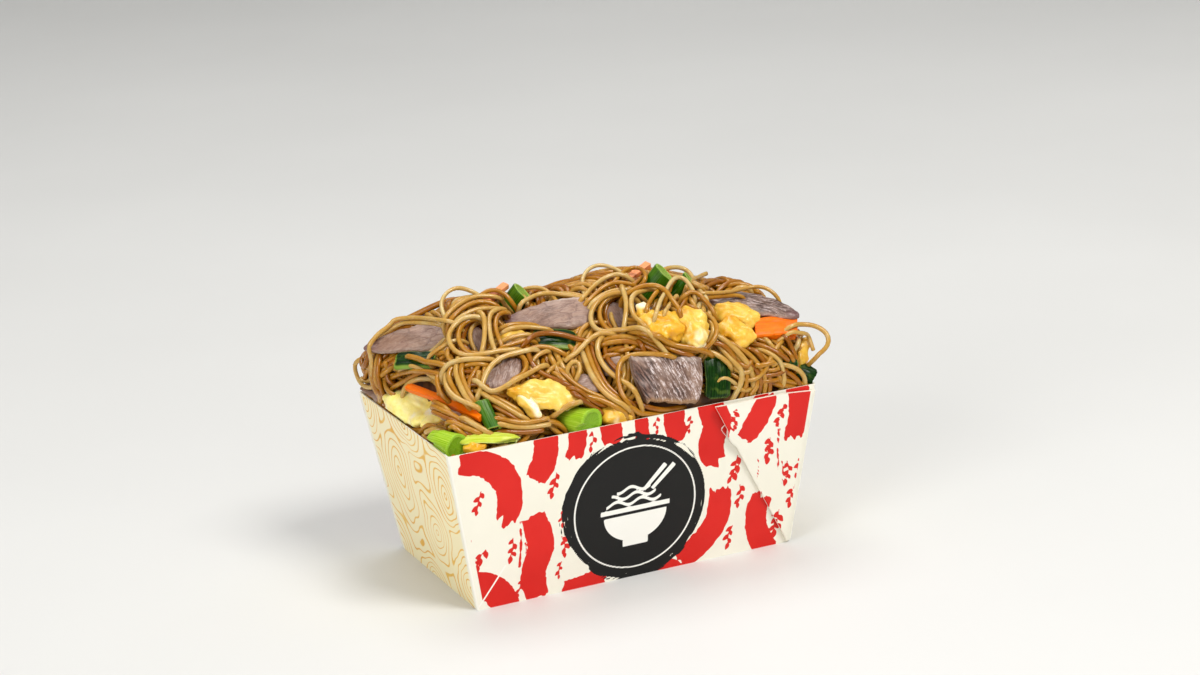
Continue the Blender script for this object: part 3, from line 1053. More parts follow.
def sharpen(ob, degrees):
    import bmesh
    bm = bmesh.new()
    bm.from_mesh(ob.data)
    for e in bm.edges:
        if len(e.link_faces) == 2 and e.calc_face_angle(0) > math.radians(degrees):
            e.smooth = False
    bm.to_mesh(ob.data)
    bm.free()


RES = 0.82


def res_of(size, least=0.5):
    """mesh fineness of a piece by its length"""
    return RES * min(1.0, max(least, max(size) / 26.0))




def keep_inside(P, gap=0.3):
    """moves points that would touch the tray's walls back inside them"""
    z = np.clip(P[..., 2], BOARD + gap, HIGH)
    over = np.maximum(P[..., 2] - HIGH - 1.0, 0)
    wx = (BASE_L + (TOP_L - BASE_L) * z / HIGH) / 2 - BOARD - gap + over * 1.2
    wy = (BASE_W + (TOP_W - BASE_W) * z / HIGH) / 2 - BOARD - gap + over * 1.2
    return np.stack([np.clip(P[..., 0], -wx, wx), np.clip(P[..., 1], -wy, wy), P[..., 2]], -1)

# ---- beef: thin slices, fine fibres across the face, a paler rim, ragged edges
BEEF_LOOK = {  # slant of the fibres in degrees, their depth, darkness, silver
    "beef_slice_1": (8, 0.05, 0.0, 0.0), "beef_slice_2": (12, 0.05, 0.22, 0.0), "beef_slice_3": (4, 0.20, 0.92, 0.62),
    "beef_slice_4": (-58, 0.20, 0.55, 1.0), "beef_slice_5": (30, 0.09, 0.35, 0.35), "beef_slice_6": (40, 0.09, 0.35, 0.2),
}


def beef_material():
    m = Mat("beef")
    loc = m.node("ShaderNodeAttribute", attribute_name="v_loc").outputs["Vector"]
    pos = m.coord()
    bend = m.noise(m.scaled(loc, (0.12, 0.2, 0.2)), 1.0, 2.0)
    fine = m.noise(m.scaled(loc, (0.19, 1.0, 0.8)), 1.25, 4.0, 0.66, 0.5)
    mid = m.noise(m.scaled(loc, (0.12, 0.26, 0.4)), 1.2, 3.0, 0.55, 0.8)
    grain = m.noise(pos, 900.0, 3.0, 0.62)
    cells = m.node("ShaderNodeTexVoronoi", feature="DISTANCE_TO_EDGE")
    m.link(m.scaled(loc, (0.15, 0.34, 0.3)), cells.inputs["Vector"])
    cells.inputs["Scale"].default_value = 1.0
    vein = m.range(cells.outputs["Distance"], 0.015, 0.075, 1.0, 0.0)
    vein = m.math("MULTIPLY", vein, m.range(bend, 0.35, 0.6, 0.1, 1.0))
    dark = m.attr("dark")
    plain = m.mix(m.range(mid, 0.32, 0.68), rgb(130, 97, 82), rgb(162, 131, 113))
    plain = m.mix(m.range(fine, 0.36, 0.68, 0.0, 0.55), plain, rgb(182, 152, 134))
    plain = m.mix(m.math("MULTIPLY", vein, 0.55), plain, rgb(100, 66, 54))
    plain = m.mix(m.range(grain, 0.52, 0.74, 0.0, 0.35), plain, rgb(192, 168, 152))
    deep = m.mix(m.range(fine, 0.40, 0.60), rgb(38, 14, 8), rgb(114, 80, 66))
    deep = m.mix(m.range(mid, 0.50, 0.70, 0.0, 0.55), deep, rgb(156, 128, 114))
    col = m.mix(dark, plain, deep)
    glint = m.math("MULTIPLY", m.range(fine, 0.50, 0.60), m.range(grain, 0.36, 0.56))
    silver = m.math("MULTIPLY", m.attr("silver"), glint)
    col = m.mix(m.math("MULTIPLY", silver, 0.9), col, rgb(222, 208, 206))
    col = m.mix(m.math("MULTIPLY", m.attr("rim"), m.range(grain, 0.25, 0.7, 0.5, 1.0)), col, rgb(208, 190, 176))
    col = m.mix(m.attr("tan"), col, rgb(166, 126, 84))
    col = m.mix(m.math("MULTIPLY", m.attr("tip"), 0.7), col, rgb(104, 66, 70))
    relief = m.math("ADD", fine, m.math("MULTIPLY", grain, 0.45))
    relief = m.math("SUBTRACT", relief, m.math("MULTIPLY", vein, 0.5))
    m.set(color=col, rough=m.range(fine, 0.3, 0.7, 0.50, 0.30), spec=0.5, normal=m.bump(relief, 0.4, 0.0004))
    return m.m


def add_beef(r, mat):
    slant, depth, dark, silver = BEEF_LOOK.get(r["name"], (18 + 9 * math.sin(r["at"][0]), 0.08, 0.25, 0.12))
    opts = {**FORMS["beef"], **{k: r[k] for k in ("a", "b", "bend", "n") if k in r}}
    res = res_of(r["size"])
    sides, stations = int(96 * res), int(110 * res)
    P, loc, (x, y, z) = lump(r["at"], r["along"], r["up"], r["size"], sides=sides, stations=stations, **opts)
    L, W, T = r["size"]
    seed = abs(hash_name(r["name"])) % 97
    N = grid_normals(P)
    u, v, h = loc[..., 0], loc[..., 1], loc[..., 2]
    # ragged outline and a gentle warp of the whole slice
    edge = 1 + 0.055 * noise2(u / 3.4, np.sign(v) * 2.2 + seed, seed) + 0.03 * noise2(u / 1.2, np.sign(v) * 3.1, seed + 1)
    P = P + ((edge - 1) * v)[..., None] * y
    warp = 0.55 * noise2(u / 11.0 + seed, v / 7.0, seed + 2) + 0.22 * noise2(u / 4.0, v / 3.2, seed + 3)
    P = P + warp[..., None] * z
    if r["name"] == "beef_slice_4":      # cut narrower towards its lower edge
        foot = np.clip(0.5 - 0.5 * v * np.sign(y[2]) / (W / 2), 0, 1)
        slide = 6.4 * sm(-2 * u / L) * foot - 1.3 * sm(2 * u / L) * foot
        P = P + slide[..., None] * x
    # fibre frame on the broad faces
    c, s = math.cos(math.radians(slant)), math.sin(math.radians(slant))
    g = u * c + v * s
    t = -u * s + v * c
    ridge = noise2(t / 0.9 + 0.8 * noise2(g / 3.0, t / 2.0, seed + 5), g / 3.4, seed + 4)
    ridge2 = noise2(t / 2.4 + 0.6 * noise2(g / 4.0, t / 3.0, seed + 9), g / 5.0, seed + 8)
    face = np.clip(np.abs(h) / (T / 2) * 1.2 - 0.2, 0, 1)
    bump = depth * (ridge + 0.9 * ridge2) * face + 0.05 * noise3(P / 0.8, seed)
    P = P + bump[..., None] * N
    q = np.abs(v) / (W / 2)
    upper = sm((v * np.sign(y[2] if abs(y[2]) > 0.15 else y[1]) / (W / 2) + 0.2) / 0.5)
    rim = sm((q - 0.74) / 0.12) * (0.25 + 0.75 * upper) * np.clip(0.8 + 0.5 * noise2(u / 3.0, np.sign(v), seed + 6), 0, 1)
    side = sm((0.55 - face) / 0.4)
    tip = sm((-(u) / L - 0.28) / 0.16) if r.get("a", 0.3) > 0.4 else sm((np.abs(u) / L - 0.40) / 0.12) * 0.4
    tan = np.zeros_like(u)
    if r["name"] == "beef_slice_4":
        dark_map = 0.62 + 0.45 * sm((-u / L - 0.06) / 0.2) + 0.45 * noise2(g / 6.0, t / 3.0, seed + 12)
        dark_map = np.clip(dark_map, 0, 1)
        tan = sm((-(v) / (W / 2) - 0.80) / 0.18) * 0.8 if y[2] > 0 else sm(((v) / (W / 2) - 0.80) / 0.18) * 0.8
        rim = rim * 0.35
        tip = tip * 0
    else:
        dark_map = np.clip(dark + 0.3 * noise2(u / 8.0, v / 5.0, seed + 11), 0, 1)
    glints = np.full_like(u, silver)
    if r["name"] == "beef_slice_4":
        glints = glints * (1 - 0.95 * sm((-u / L - 0.20) / 0.14))
    if r["name"] == "beef_slice_3":
        tip = sm((u / L - 0.36) / 0.12)
    bits = Bits()
    bits.add(keep_inside(P), v_loc=np.stack([g, t, h], -1), rim=np.maximum(rim, 0.5 * side), dark=dark_map,
             silver=glints, tip=tip, tan=tan)
    ob = bits.make("meat_" + r["name"][11:])
    ob.data.materials.append(mat)
    finish_piece(ob, [r["name"]])


def hash_name(s):
    h = 7
    for ch in s:
        h = (h * 31 + ord(ch)) % 1000003
    return h


# ---- egg: soft curds of scrambled egg
EGG_LOOK = {  # depth of the yellow, share of white
    "egg_piece_1": (0.0, 0.20), "egg_piece_2": (0.15, 0.08), "egg_piece_3": (0.75, 0.05), "egg_piece_4": (0.30, 0.12),
    "egg_piece_5": (0.60, 0.02), "egg_piece_6": (0.60, 0.10), "egg_piece_7": (0.9, 0.0), "egg_piece_8": (0.25, 0.30),
    "egg_piece_9": (0.45, 0.05),
}


def egg_material(name="scrambled_egg", pale_a=rgb(230, 190, 70), pale_b=rgb(237, 207, 106)):
    m = Mat(name)
    pos = m.coord()
    big = m.noise(pos, 210.0, 3.0, 0.55, 0.4)
    mid = m.noise(pos, 520.0, 3.0, 0.6)
    fine = m.noise(pos, 1500.0, 2.0, 0.6)
    pale = m.mix(m.range(big, 0.35, 0.65), pale_a, pale_b)
    deep = m.mix(m.range(big, 0.35, 0.65), rgb(220, 150, 4), rgb(233, 180, 26))
    col = m.mix(m.attr("deep"), pale, deep)
    col = m.mix(m.range(m.attr("crease"), 0.0, 1.0, 0.0, 0.55), col, rgb(226, 160, 34))
    col = m.mix(m.math("MULTIPLY", m.range(mid, 0.60, 0.78), 0.35), col, rgb(255, 240, 170))
    col = m.mix(m.attr("white"), col, m.mix(m.range(mid, 0.4, 0.65), rgb(250, 234, 180), rgb(252, 244, 220)))
    m.set(color=col, rough=m.range(mid, 0.3, 0.7, 0.24, 0.40), spec=0.5, sss=0.25, sss_scale=0.0016,
          sss_radius=(1.0, 0.72, 0.28),
          normal=m.bump(m.math("ADD", mid, m.math("MULTIPLY", fine, 0.35)), 0.25, 0.0006))
    return m.m


def add_egg(r, mat):
    deep, white = EGG_LOOK.get(r["name"], (0.45, 0.12))
    bits = Bits()
    parts = [(r["at"], r["along"], r["size"], r.get("seed", 0), r.get("a", 0.3), r.get("b", 0.3))]
    for at, along, L, W, T in r.get("lobes", ()):
        parts.append((np.array(at, float), np.array(along, float), (L, W, T), r.get("seed", 0) + 1.7, r.get("a", 0.3), r.get("b", 0.3)))
    for k, (at, along, size, seed, a, b) in enumerate(parts):
        P, loc, (x, y, z) = lump(at, along, r["up"], size, a=a, b=b, n=2.4, seed=seed,
                                 sides=int(96 * res_of(size)), stations=int(96 * res_of(size)))
        N = grid_normals(P)
        o = 13.7 * r.get("seed", 0) + 5.1 * k
        scale = min(1.0, size[1] / 10.0)
        q = P / 5.2 + o
        L, W, T = size
        u, v, h = loc[..., 0], loc[..., 1], loc[..., 2]
        rag = 0.42 + 0.40 * deep
        # ragged outline, then folds that run along the piece
        out = 0.13 * noise2(u / 3.6 + o, np.sign(v) * 3.0, 12) + 0.06 * noise2(u / 1.4 + o, np.sign(v) * 5.0, 13)
        P = P + (v * out)[..., None] * y
        w1, w2 = noise3(P / 6.0 + o, 14), noise3(P / 6.0 - o, 15)
        f1 = noise3(np.stack([u / 8.0 + 0.7 * w1, v / 3.4 + 0.8 * w2, h / 5.0], -1) + o, 4)
        f2 = noise3(np.stack([u / 4.2 + 0.5 * w2, v / 2.3 + 0.5 * w1, h / 3.0], -1) - o, 8)
        soft = 0.8 * noise3(P / 7.0 + o, 3)
        d = scale * (soft + rag * (1.9 * (0.22 - np.abs(f1)) + 1.1 * (np.abs(f2) - 0.22)) + 0.20 * noise3(P / 1.7 + o, 5)
                     + 0.07 * noise3(P / 0.8, 6))
        P = P + d[..., None] * N
        crease = np.maximum(sm((0.09 - np.abs(f2)) / 0.09) * 0.8, sm((np.abs(f1) - 0.42) / 0.3) * 0.7) * rag
        w = sm((noise3(P / 4.8 + 3 * o, 9) + 2 * white - 0.75) / 0.35)
        if k == 1 and r["name"] in ("egg_piece_2",):
            w = np.maximum(w, sm((0.9 - np.abs(loc[..., 1]) / (size[1] * 0.42)) / 0.5))
        if k == 1 and r["name"] == "egg_piece_3":
            w = np.maximum(w, 0.95 * sm((0.1 - loc[..., 0] / size[0]) / 0.3))
        dd = np.clip(deep + 0.35 * noise3(P / 6.0 + o, 10), 0, 1)
        if r["name"] == "egg_piece_3" and k == 2:
            dd = np.clip(0.30 + 0.7 * noise3(P / 4.0 + o, 10), 0, 1)
            w = np.maximum(w, 0.75 * sm((loc[..., 0] / size[0] - 0.12) / 0.2) * sm(0.5 + noise3(P / 2.2, 17)))
        if r["name"] == "egg_piece_1":
            w = np.maximum(w, 0.14 + 0.20 * noise3(P / 3.0, 18))
            crease = crease * 0.5
        if r["name"] == "egg_piece_2" and k == 0:
            dd = np.clip(dd + 0.5 * sm((-loc[..., 0] / size[0] - 0.2) / 0.2), 0, 1)
        bits.add(keep_inside(P), deep=dd, white=w, crease=crease * (1 - w))
    ob = bits.make("egg_curd_" + r["name"][10:])
    ob.data.materials.append(mat)
    finish_piece(ob, [r["name"]])


# ---- spring onion: short lengths of a ribbed tube with cut, hollow ends
ONION_LOOK = {  # brightness, wall in mm, flattening of the tube
    "green_onion_1": (0.12, 0.9), "green_onion_2": (0.10, 0.9), "green_onion_3": (0.10, 0.8),
    "green_onion_8": (0.10, 0.8), "green_onion_4": (1.0, 1.5), "green_onion_5": (1.0, 1.4), "green_onion_6": (0.7, 1.1), "green_onion_7": (0.3, 0.9),
}


def onion_material():
    m = Mat("spring_onion")
    loc = m.node("ShaderNodeAttribute", attribute_name="v_loc").outputs["Vector"]   # along, round, depth
    lines = m.noise(m.scaled(loc, (0.05, 2.6, 0.0)), 1.0, 3.0, 0.6, 0.15)
    patch = m.noise(m.scaled(loc, (0.22, 0.5, 0.0)), 1.0, 2.0)
    bright = m.mix(m.range(lines, 0.34, 0.66), rgb(124, 168, 10), rgb(184, 212, 70))
    bright = m.mix(m.range(patch, 0.35, 0.7, 0.0, 0.55), bright, rgb(144, 190, 20))
    dark = m.mix(m.range(lines, 0.34, 0.66), rgb(2, 46, 0), rgb(34, 102, 0))
    dark = m.mix(m.range(patch, 0.4, 0.7, 0.0, 0.5), dark, rgb(18, 78, 0))
    col = m.mix(m.attr("bright"), dark, bright)
    col = m.mix(m.attr("cut"), col, m.mix(m.attr("bright"), rgb(150, 176, 74), rgb(146, 190, 44)))
    inner = m.mix(m.attr("bright"), rgb(20, 58, 4), rgb(84, 146, 6))
    col = m.mix(m.attr("inner"), col, inner)
    m.set(color=col, rough=m.range(lines, 0.3, 0.7, 0.22, 0.34), spec=0.22, sss=0.07, sss_scale=0.001,
          sss_radius=(0.5, 1.0, 0.2), normal=m.bump(lines, 0.35, 0.0004))
    return m.m


def add_onion(r, mat):
    bright, wall = ONION_LOOK[r["name"]]
    x, y, z = frame_of(r["along"], r["up"])
    L, W, T = r["size"]
    res = res_of(r["size"], 0.62)
    sides = int(88 * res)
    n = r.get("n", 2.0)
    skew = r.get("skew", 0.0)
    t = 2 * np.pi * (np.arange(sides) + 0.5) / sides
    c, d = np.cos(t), np.sin(t)
    k = (np.abs(c) ** n + np.abs(d) ** n) ** (-1.0 / n)
    seed = hash_name(r["name"]) % 89
    rib = 1 + 0.012 * np.sin(23 * t + seed) + 0.02 * np.sin(3 * t + seed) + 0.015 * np.sin(5 * t + 2 * seed)
    # profile from the middle of one hollow end, over the outside, to the other
    hollow = min(W, T) / 2 - wall
    dome0 = 1 - r.get("dome", 0.0)
    prof = []          # (place along, radius share, cut, inner, along-skew)
    deep = min(3.0, L * 0.3) if bright < 0.5 else 1.5
    plug = r.get("plug")         # a length whose end is closed by its inner layers
    if plug:
        deep = plug[2]
    R = min(W, T) / 2
    ins = hollow / R
    prof += [(a, share * dome0, cu, inn) for a, share, cu, inn in (
        (-0.5 * L + deep, 0.06, 0, 1), (-0.5 * L + deep, ins * 0.75, 0, 1), (-0.5 * L + deep * 0.6, ins * 0.97, 0, 1),
        (-0.5 * L + 0.35, ins, 0, 1), (-0.5 * L + 0.05, ins + 0.03, 1, 0), (-0.5 * L, ins + 0.10, 1, 0),
        (-0.5 * L, 0.93, 1, 0), (-0.5 * L + 0.06, 0.975, 0.8, 0), (-0.5 * L + 0.3, 1.0, 0, 0))]
    dome = r.get("dome", 0.0)
    for q in np.linspace(0.04, 0.96, int(30 * res)):
        prof.append((-0.5 * L + q * L, 1 - dome * (1 - sm(q / 0.42)), 0, 0))
    prof += [(0.5 * L - 0.3, 1.0, 0, 0), (0.5 * L - 0.06, 0.975, 0.8, 0), (0.5 * L, 0.93, 1, 0),
             (0.5 * L, ins + 0.10, 1, 0), (0.5 * L - 0.05, ins + 0.03, 1, 0), (0.5 * L - 0.35, ins, 0, 1),
             (0.5 * L - deep * 0.6, ins * 0.97, 0, 1), (0.5 * L - deep, ins * 0.75, 0, 1), (0.5 * L - deep, 0.06, 0, 1)]
    if plug:
        prof = [(u, share, plug[1] if inn else cu, plug[0] if inn else 0) for u, share, cu, inn in prof]
    P, loc, cut, inner = [], [], [], []
    for u, share, cu, inn in prof:
        dent = 1 - 0.05 * math.cos(math.pi * u / L) + 0.03 * np.sin(t * 2 + u * 0.4 + seed)
        v = (W / 2) * k * c * rib * share * dent
        h = (T / 2) * k * d * rib * share * dent
        wob = 0.12 * noise2(t * 2.0, np.full_like(t, seed), seed) * (1 if abs(u) > 0.47 * L else 0)
        P.append(r["at"] + (u + skew * v + wob)[:, None] * x + v[:, None] * y + h[:, None] * z)
        loc.append(np.stack([np.full(sides, u), t * R, np.full(sides, share)], -1))
        cut.append(np.full(sides, cu))
        inner.append(np.full(sides, inn))
    P, loc = np.array(P), np.array(loc)
    bits = Bits()
    b = np.clip(bright + 0.14 * noise2(loc[..., 0] / 5, loc[..., 1] / 4, seed), 0, 1)
    bits.add(keep_inside(P), v_loc=loc, cut=np.array(cut, float), inner=np.array(inner, float), bright=b)
    ob = bits.make("onion_length_" + r["name"][12:])
    sharpen(ob, 62)
    ob.data.materials.append(mat)
    finish_piece(ob, () if r.get("extra") else [r["name"]])


# ---- leaves: limp folded pieces of green leaf
def leaf_material(name, dark_a, dark_b, pale):
    m = Mat(name)
    loc = m.node("ShaderNodeAttribute", attribute_name="v_loc").outputs["Vector"]
    lines = m.noise(m.scaled(loc, (0.06, 1.7, 0.0)), 1.0, 3.0, 0.6, 0.3)
    patch = m.noise(m.scaled(loc, (0.3, 0.4, 0.3)), 1.0, 3.0)
    col = m.mix(m.range(lines, 0.34, 0.66), dark_a, dark_b)
    col = m.mix(m.range(patch, 0.55, 0.75, 0.0, 0.22), col, pale)
    col = m.mix(m.attr("pale"), col, pale)
    m.set(color=col, rough=m.range(lines, 0.3, 0.7, 0.20, 0.36), spec=0.20, sss=0.05, sss_scale=0.0008,
          sss_radius=(0.4, 1.0, 0.2), normal=m.bump(lines, 0.4, 0.0004))
    return m.m


def add_leaf(r, mat, prefix, cut):
    L, W, T = r["size"]
    x, y, z = frame_of(r["along"], r["up"])
    seed = hash_name(r["name"]) % 83
    bits = Bits()
    layers = 2 if T > 2.3 else 1
    for k in range(layers):
        nu, nv = int(54 * res_of(r["size"], 0.6)), int(40 * res_of(r["size"], 0.6))
        q = np.linspace(0, 1, nu)[:, None]
        p = np.linspace(-1, 1, nv)[None, :]
        ends = np.minimum(1, (q / 0.10) ** 0.5) * np.minimum(1, ((1 - q) / 0.10) ** 0.5)
        half = W / 2 * (0.62 + 0.38 * ends) * (1 + 0.06 * noise2(q * L / 3.0, p * 0 + seed, seed + k))
        roll = (0.85 if layers == 2 else 0.55) * (1 + 0.3 * np.sin(seed + k))     # how far the sheet curls
        ang = p * roll * 1.25
        u = (q - 0.5) * L * (1 - 0.06 * k) + 0.5 * noise2(p * 1.6, q * 0 + seed, seed + 3) + 0 * p
        v = half * np.sin(ang) / math.sin(roll * 1.25) * 0.98
        h = (np.cos(ang) - 0.55) * T * 0.62 + r.get("bend", 0) * (1 - (2 * q - 1) ** 2)
        h = h + 0.28 * noise2(q * L / 3.2 + k, p * 2.0, seed + 5) + 0.10 * np.sin(p * 16 + seed)
        if k == 1:
            h = h - T * 0.42
            v = v * 0.86 + 0.3
        M = r["at"] + u[..., None] * x + v[..., None] * y + h[..., None] * z
        th = 0.34 if layers == 2 else 0.42
        du, dv = np.gradient(M, axis=0), np.gradient(M, axis=1)
        N = unit(np.cross(du, dv))
        top, bot = M + N * th / 2, M - N * th / 2
        ring = np.concatenate([top, bot[:, ::-1]], 1)          # closed section at each station
        pale_edge = sm((np.abs(p) - 0.93) / 0.05) * 0.7 + sm((np.abs(2 * q - 1) - 0.95) / 0.04) + 0 * p
        vals = np.clip(pale_edge, 0, 1) * (0.3 if r["name"] == "green_leaf_1" else 0.75)
        if r["name"] == "green_leaf_1":
            curl = np.exp(-(((q - 0.86) / 0.03) ** 2)) * sm((p + 0.1) / 0.25) * 0.25
            vals = np.maximum(vals, curl)
        if r["name"] in ("green_leaf_4", "green_leaf_5"):
            vals = np.maximum(vals, 0.6 * sm((-p - 0.45) / 0.25) if y[1] > 0 else 0.6 * sm((p - 0.45) / 0.25))
        pl = np.concatenate([vals, vals[:, ::-1]], 1)
        lu = np.concatenate([u + 0 * p, (u + 0 * p)[:, ::-1]], 1)
        lv = np.concatenate([v, v[:, ::-1]], 1)
        bits.add(keep_inside(ring), v_loc=np.stack([lu, lv, 0 * lu + k], -1), pale=pl)
    ob = bits.make(prefix + r["name"][cut:])
    ob.data.materials.append(mat)
    finish_piece(ob, [r["name"]])


# ---- carrot: cut sticks with fine grain
def carrot_material():
    m = Mat("carrot")
    loc = m.node("ShaderNodeAttribute", attribute_name="v_loc").outputs["Vector"]
    grain = m.noise(m.scaled(loc, (0.09, 1.6, 1.6)), 1.0, 4.0, 0.6, 0.2)
    pos = m.coord()
    patch = m.noise(pos, 260.0, 3.0)
    orange = m.mix(m.range(grain, 0.32, 0.68), rgb(232, 98, 0), rgb(243, 122, 0))
    pink = m.mix(m.range(grain, 0.32, 0.68), rgb(232, 138, 84), rgb(246, 172, 122))
    col = m.mix(m.attr("pink"), orange, pink)
    col = m.mix(m.range(patch, 0.6, 0.8, 0.0, 0.25), col, rgb(252, 146, 18))
    m.set(color=col, rough=m.range(grain, 0.3, 0.7, 0.28, 0.42), spec=0.22, sss=0.12, sss_scale=0.0012,
          sss_radius=(1.0, 0.4, 0.12), normal=m.bump(grain, 0.35, 0.0004))
    return m.m


def add_carrot(r, mat):
    L, W, T = r["size"]
    x, y, z = frame_of(r["along"], r["up"])
    seed = hash_name(r["name"]) % 71
    sides = int(48 * RES)
    n = 9.0
    t = 2 * np.pi * (np.arange(sides) + 0.5) / sides
    c, d = np.cos(t), np.sin(t)
    k = (np.abs(c) ** n + np.abs(d) ** n) ** (-1.0 / n)
    skew = r.get("skew", 0.0)
    stations = [(-0.5, 0.55), (-0.5, 0.90), (-0.4985, 0.955), (-0.494, 0.985)]
    stations += [(q, 1.0) for q in np.linspace(-0.485, 0.485, int(56 * RES))]
    stations += [(0.494, 0.985), (0.4985, 0.955), (0.5, 0.90), (0.5, 0.55)]
    P, loc = [], []
    for q, share in stations:
        taper = 1 - (0.10 if L > 20 else 0.03) * abs(q + 0.1)
        v = (W / 2) * k * c * share * taper
        h = (T / 2) * k * d * share * taper
        rough = 0.07 * noise2(t * 3 + seed, np.full_like(t, q * L / 4), seed) + 0.035 * noise2(t * 9, np.full_like(t, q * L / 1.5), seed + 1)
        v, h = v * (1 + rough), h * (1 + rough)
        bow = (0.9 if L > 20 else 0.2) * math.sin(math.pi * (q + 0.5)) - (0.45 if L > 20 else 0.1)
        P.append(r["at"] + (q * L + skew * v)[:, None] * x + v[:, None] * y + (h + bow)[:, None] * z)
        loc.append(np.stack([np.full(sides, q * L), v, h], -1))
    P, loc = np.array(P), np.array(loc)
    pink = 0.85 if r["name"] in ("carrot_stick_3", "carrot_stick_4") else (0.35 if r["name"] == "carrot_stick_6" else 0.0)
    bits = Bits()
    bits.add(keep_inside(P), v_loc=loc, pink=np.full(P.shape[:2], pink))
    ob = bits.make("carrot_cut_" + r["name"][13:])
    sharpen(ob, 48)
    ob.data.materials.append(mat)
    finish_piece(ob, [r["name"]])


def make_toppings():
    beef, egg, onion, carrot = beef_material(), egg_material(), onion_material(), carrot_material()
    soft = egg_material("soft_egg", rgb(255, 232, 112), rgb(255, 242, 150))
    leaf = leaf_material("green_leaf", rgb(2, 26, 0), rgb(16, 58, 1), rgb(144, 172, 62))
    leek = leaf_material("leek", rgb(184, 198, 44), rgb(212, 222, 92), rgb(228, 236, 160))
    for r in ROWS:
        k = r["kind"]
        if k == "beef":
            add_beef(r, beef)
        elif k == "egg":
            add_egg(r, soft if r["name"] == "egg_piece_1" else egg)
        elif k == "tube":
            add_onion(r, onion)
        elif k == "stick":
            add_carrot(r, carrot)
        elif r["name"].startswith("leek"):
            add_leaf(r, leek, "leek_piece_", 11)
        else:
            add_leaf(r, leaf, "leaf_piece_", 11)


make_toppings()


# ------------------------------------------------------------------ the heap of noodles
RIDGE = [(-78, 22), (-74, 27), (-68, 33), (-58, 37.5), (-46, 40), (-34, 39.5), (-20, 37), (-8, 37.5), (5, 40),
         (20, 41), (34, 38.5), (46, 34), (57, 30.5), (66, 28), (72, 26), (78, 22)]
NESTS = [(-46, -12, 7.5, 6.0), (8.5, -16, 8.0, 6.0)]
RIDGE_Y = 2.0
STRAND_R = 0.94


def heap_z(x, y, pits=1.0):
    x, y = np.asarray(x, float), np.asarray(y, float)
    p = curve_table(RIDGE, x)
    k = sm((x + 5) / 30.0)
    a, b = 1.7 + 1.2 * k, 1.0 + 0.55 * k
    q = np.clip((RIDGE_Y - y) / (RIDGE_Y + 47.5), 0, 1)
    r = np.clip((y - RIDGE_Y) / (48.5 - RIDGE_Y), 0, 1)
    h = p * np.where(y < RIDGE_Y, (1 - q ** a) ** (1 / b), (1 - r ** 2) ** (1 / 1.35))
    w = sm((26 - y) / 26.0)
    h = h * (1 - (1 - np.clip((x + 75.8) / (10 + 14 * w), 0, 1)) ** 2) ** (0.4 + 0.35 * w)
    h = h * (1 - (1 - np.clip((75.8 - x) / 12.0, 0, 1)) ** 2) ** 0.4
    for px, py, pr, pd in NESTS:
        h = h - pits * pd * np.exp(-((((x - px) ** 2 + (y - py) ** 2) / pr ** 2) ** 1.5))
    return HIGH + np.maximum(h, 1.0)


def lean_of(x, y, z):
    out = np.clip((z - HIGH - 3) / 8, 0, 1)
    lx = 4.5 * sm((x - 50) / 24) * out - 3.0 * sm((-x - 56) / 18) * sm((y + 10) / 30) * out
    return lx, 1.6 * sm((y - 25) / 20) * out


GX, GY = np.arange(-82, 83, 1.0), np.arange(-54, 55, 1.0)
_gx, _gy = np.meshgrid(GX, GY, indexing="ij")
GRID = {}
for _p in (0, 1):
    _z = heap_z(_gx, _gy, _p)
    _dx, _dy = np.gradient(_z, 1.0, 1.0)
    _n = unit(np.stack([-_dx, -_dy, np.ones_like(_z)], -1))
    GRID[_p] = (_z, _n)


def look(x, y, pits=1):
    """height and normal of the heap by interpolation"""
    z, n = GRID[pits]
    fx, fy = np.clip(x - GX[0], 0, len(GX) - 1.001), np.clip(y - GY[0], 0, len(GY) - 1.001)
    i, j = fx.astype(int), fy.astype(int)
    u, v = fx - i, fy - j
    zz = (z[i, j] * (1 - u) + z[i + 1, j] * u) * (1 - v) + (z[i, j + 1] * (1 - u) + z[i + 1, j + 1] * u) * v
    nn = n[i, j] * ((1 - u) * (1 - v))[..., None] + n[i + 1, j] * (u * (1 - v))[..., None] \
        + n[i, j + 1] * ((1 - u) * v)[..., None] + n[i + 1, j + 1] * (u * v)[..., None]
    return zz, unit(nn)


def hit(px, py, lift=0.0, pits=0):
    d = ray(px, py)
    ts = np.arange(900, 1340, 0.5)
    p = EYE + ts[:, None] * d
    z, _ = look(p[:, 0], p[:, 1], pits)
    ok = (p[:, 2] < z + lift) & (np.abs(p[:, 0]) < 75.2) & (np.abs(p[:, 1]) < 45.6)
    k = np.nonzero(ok)[0]
    return p[k[0]] if len(k) else None


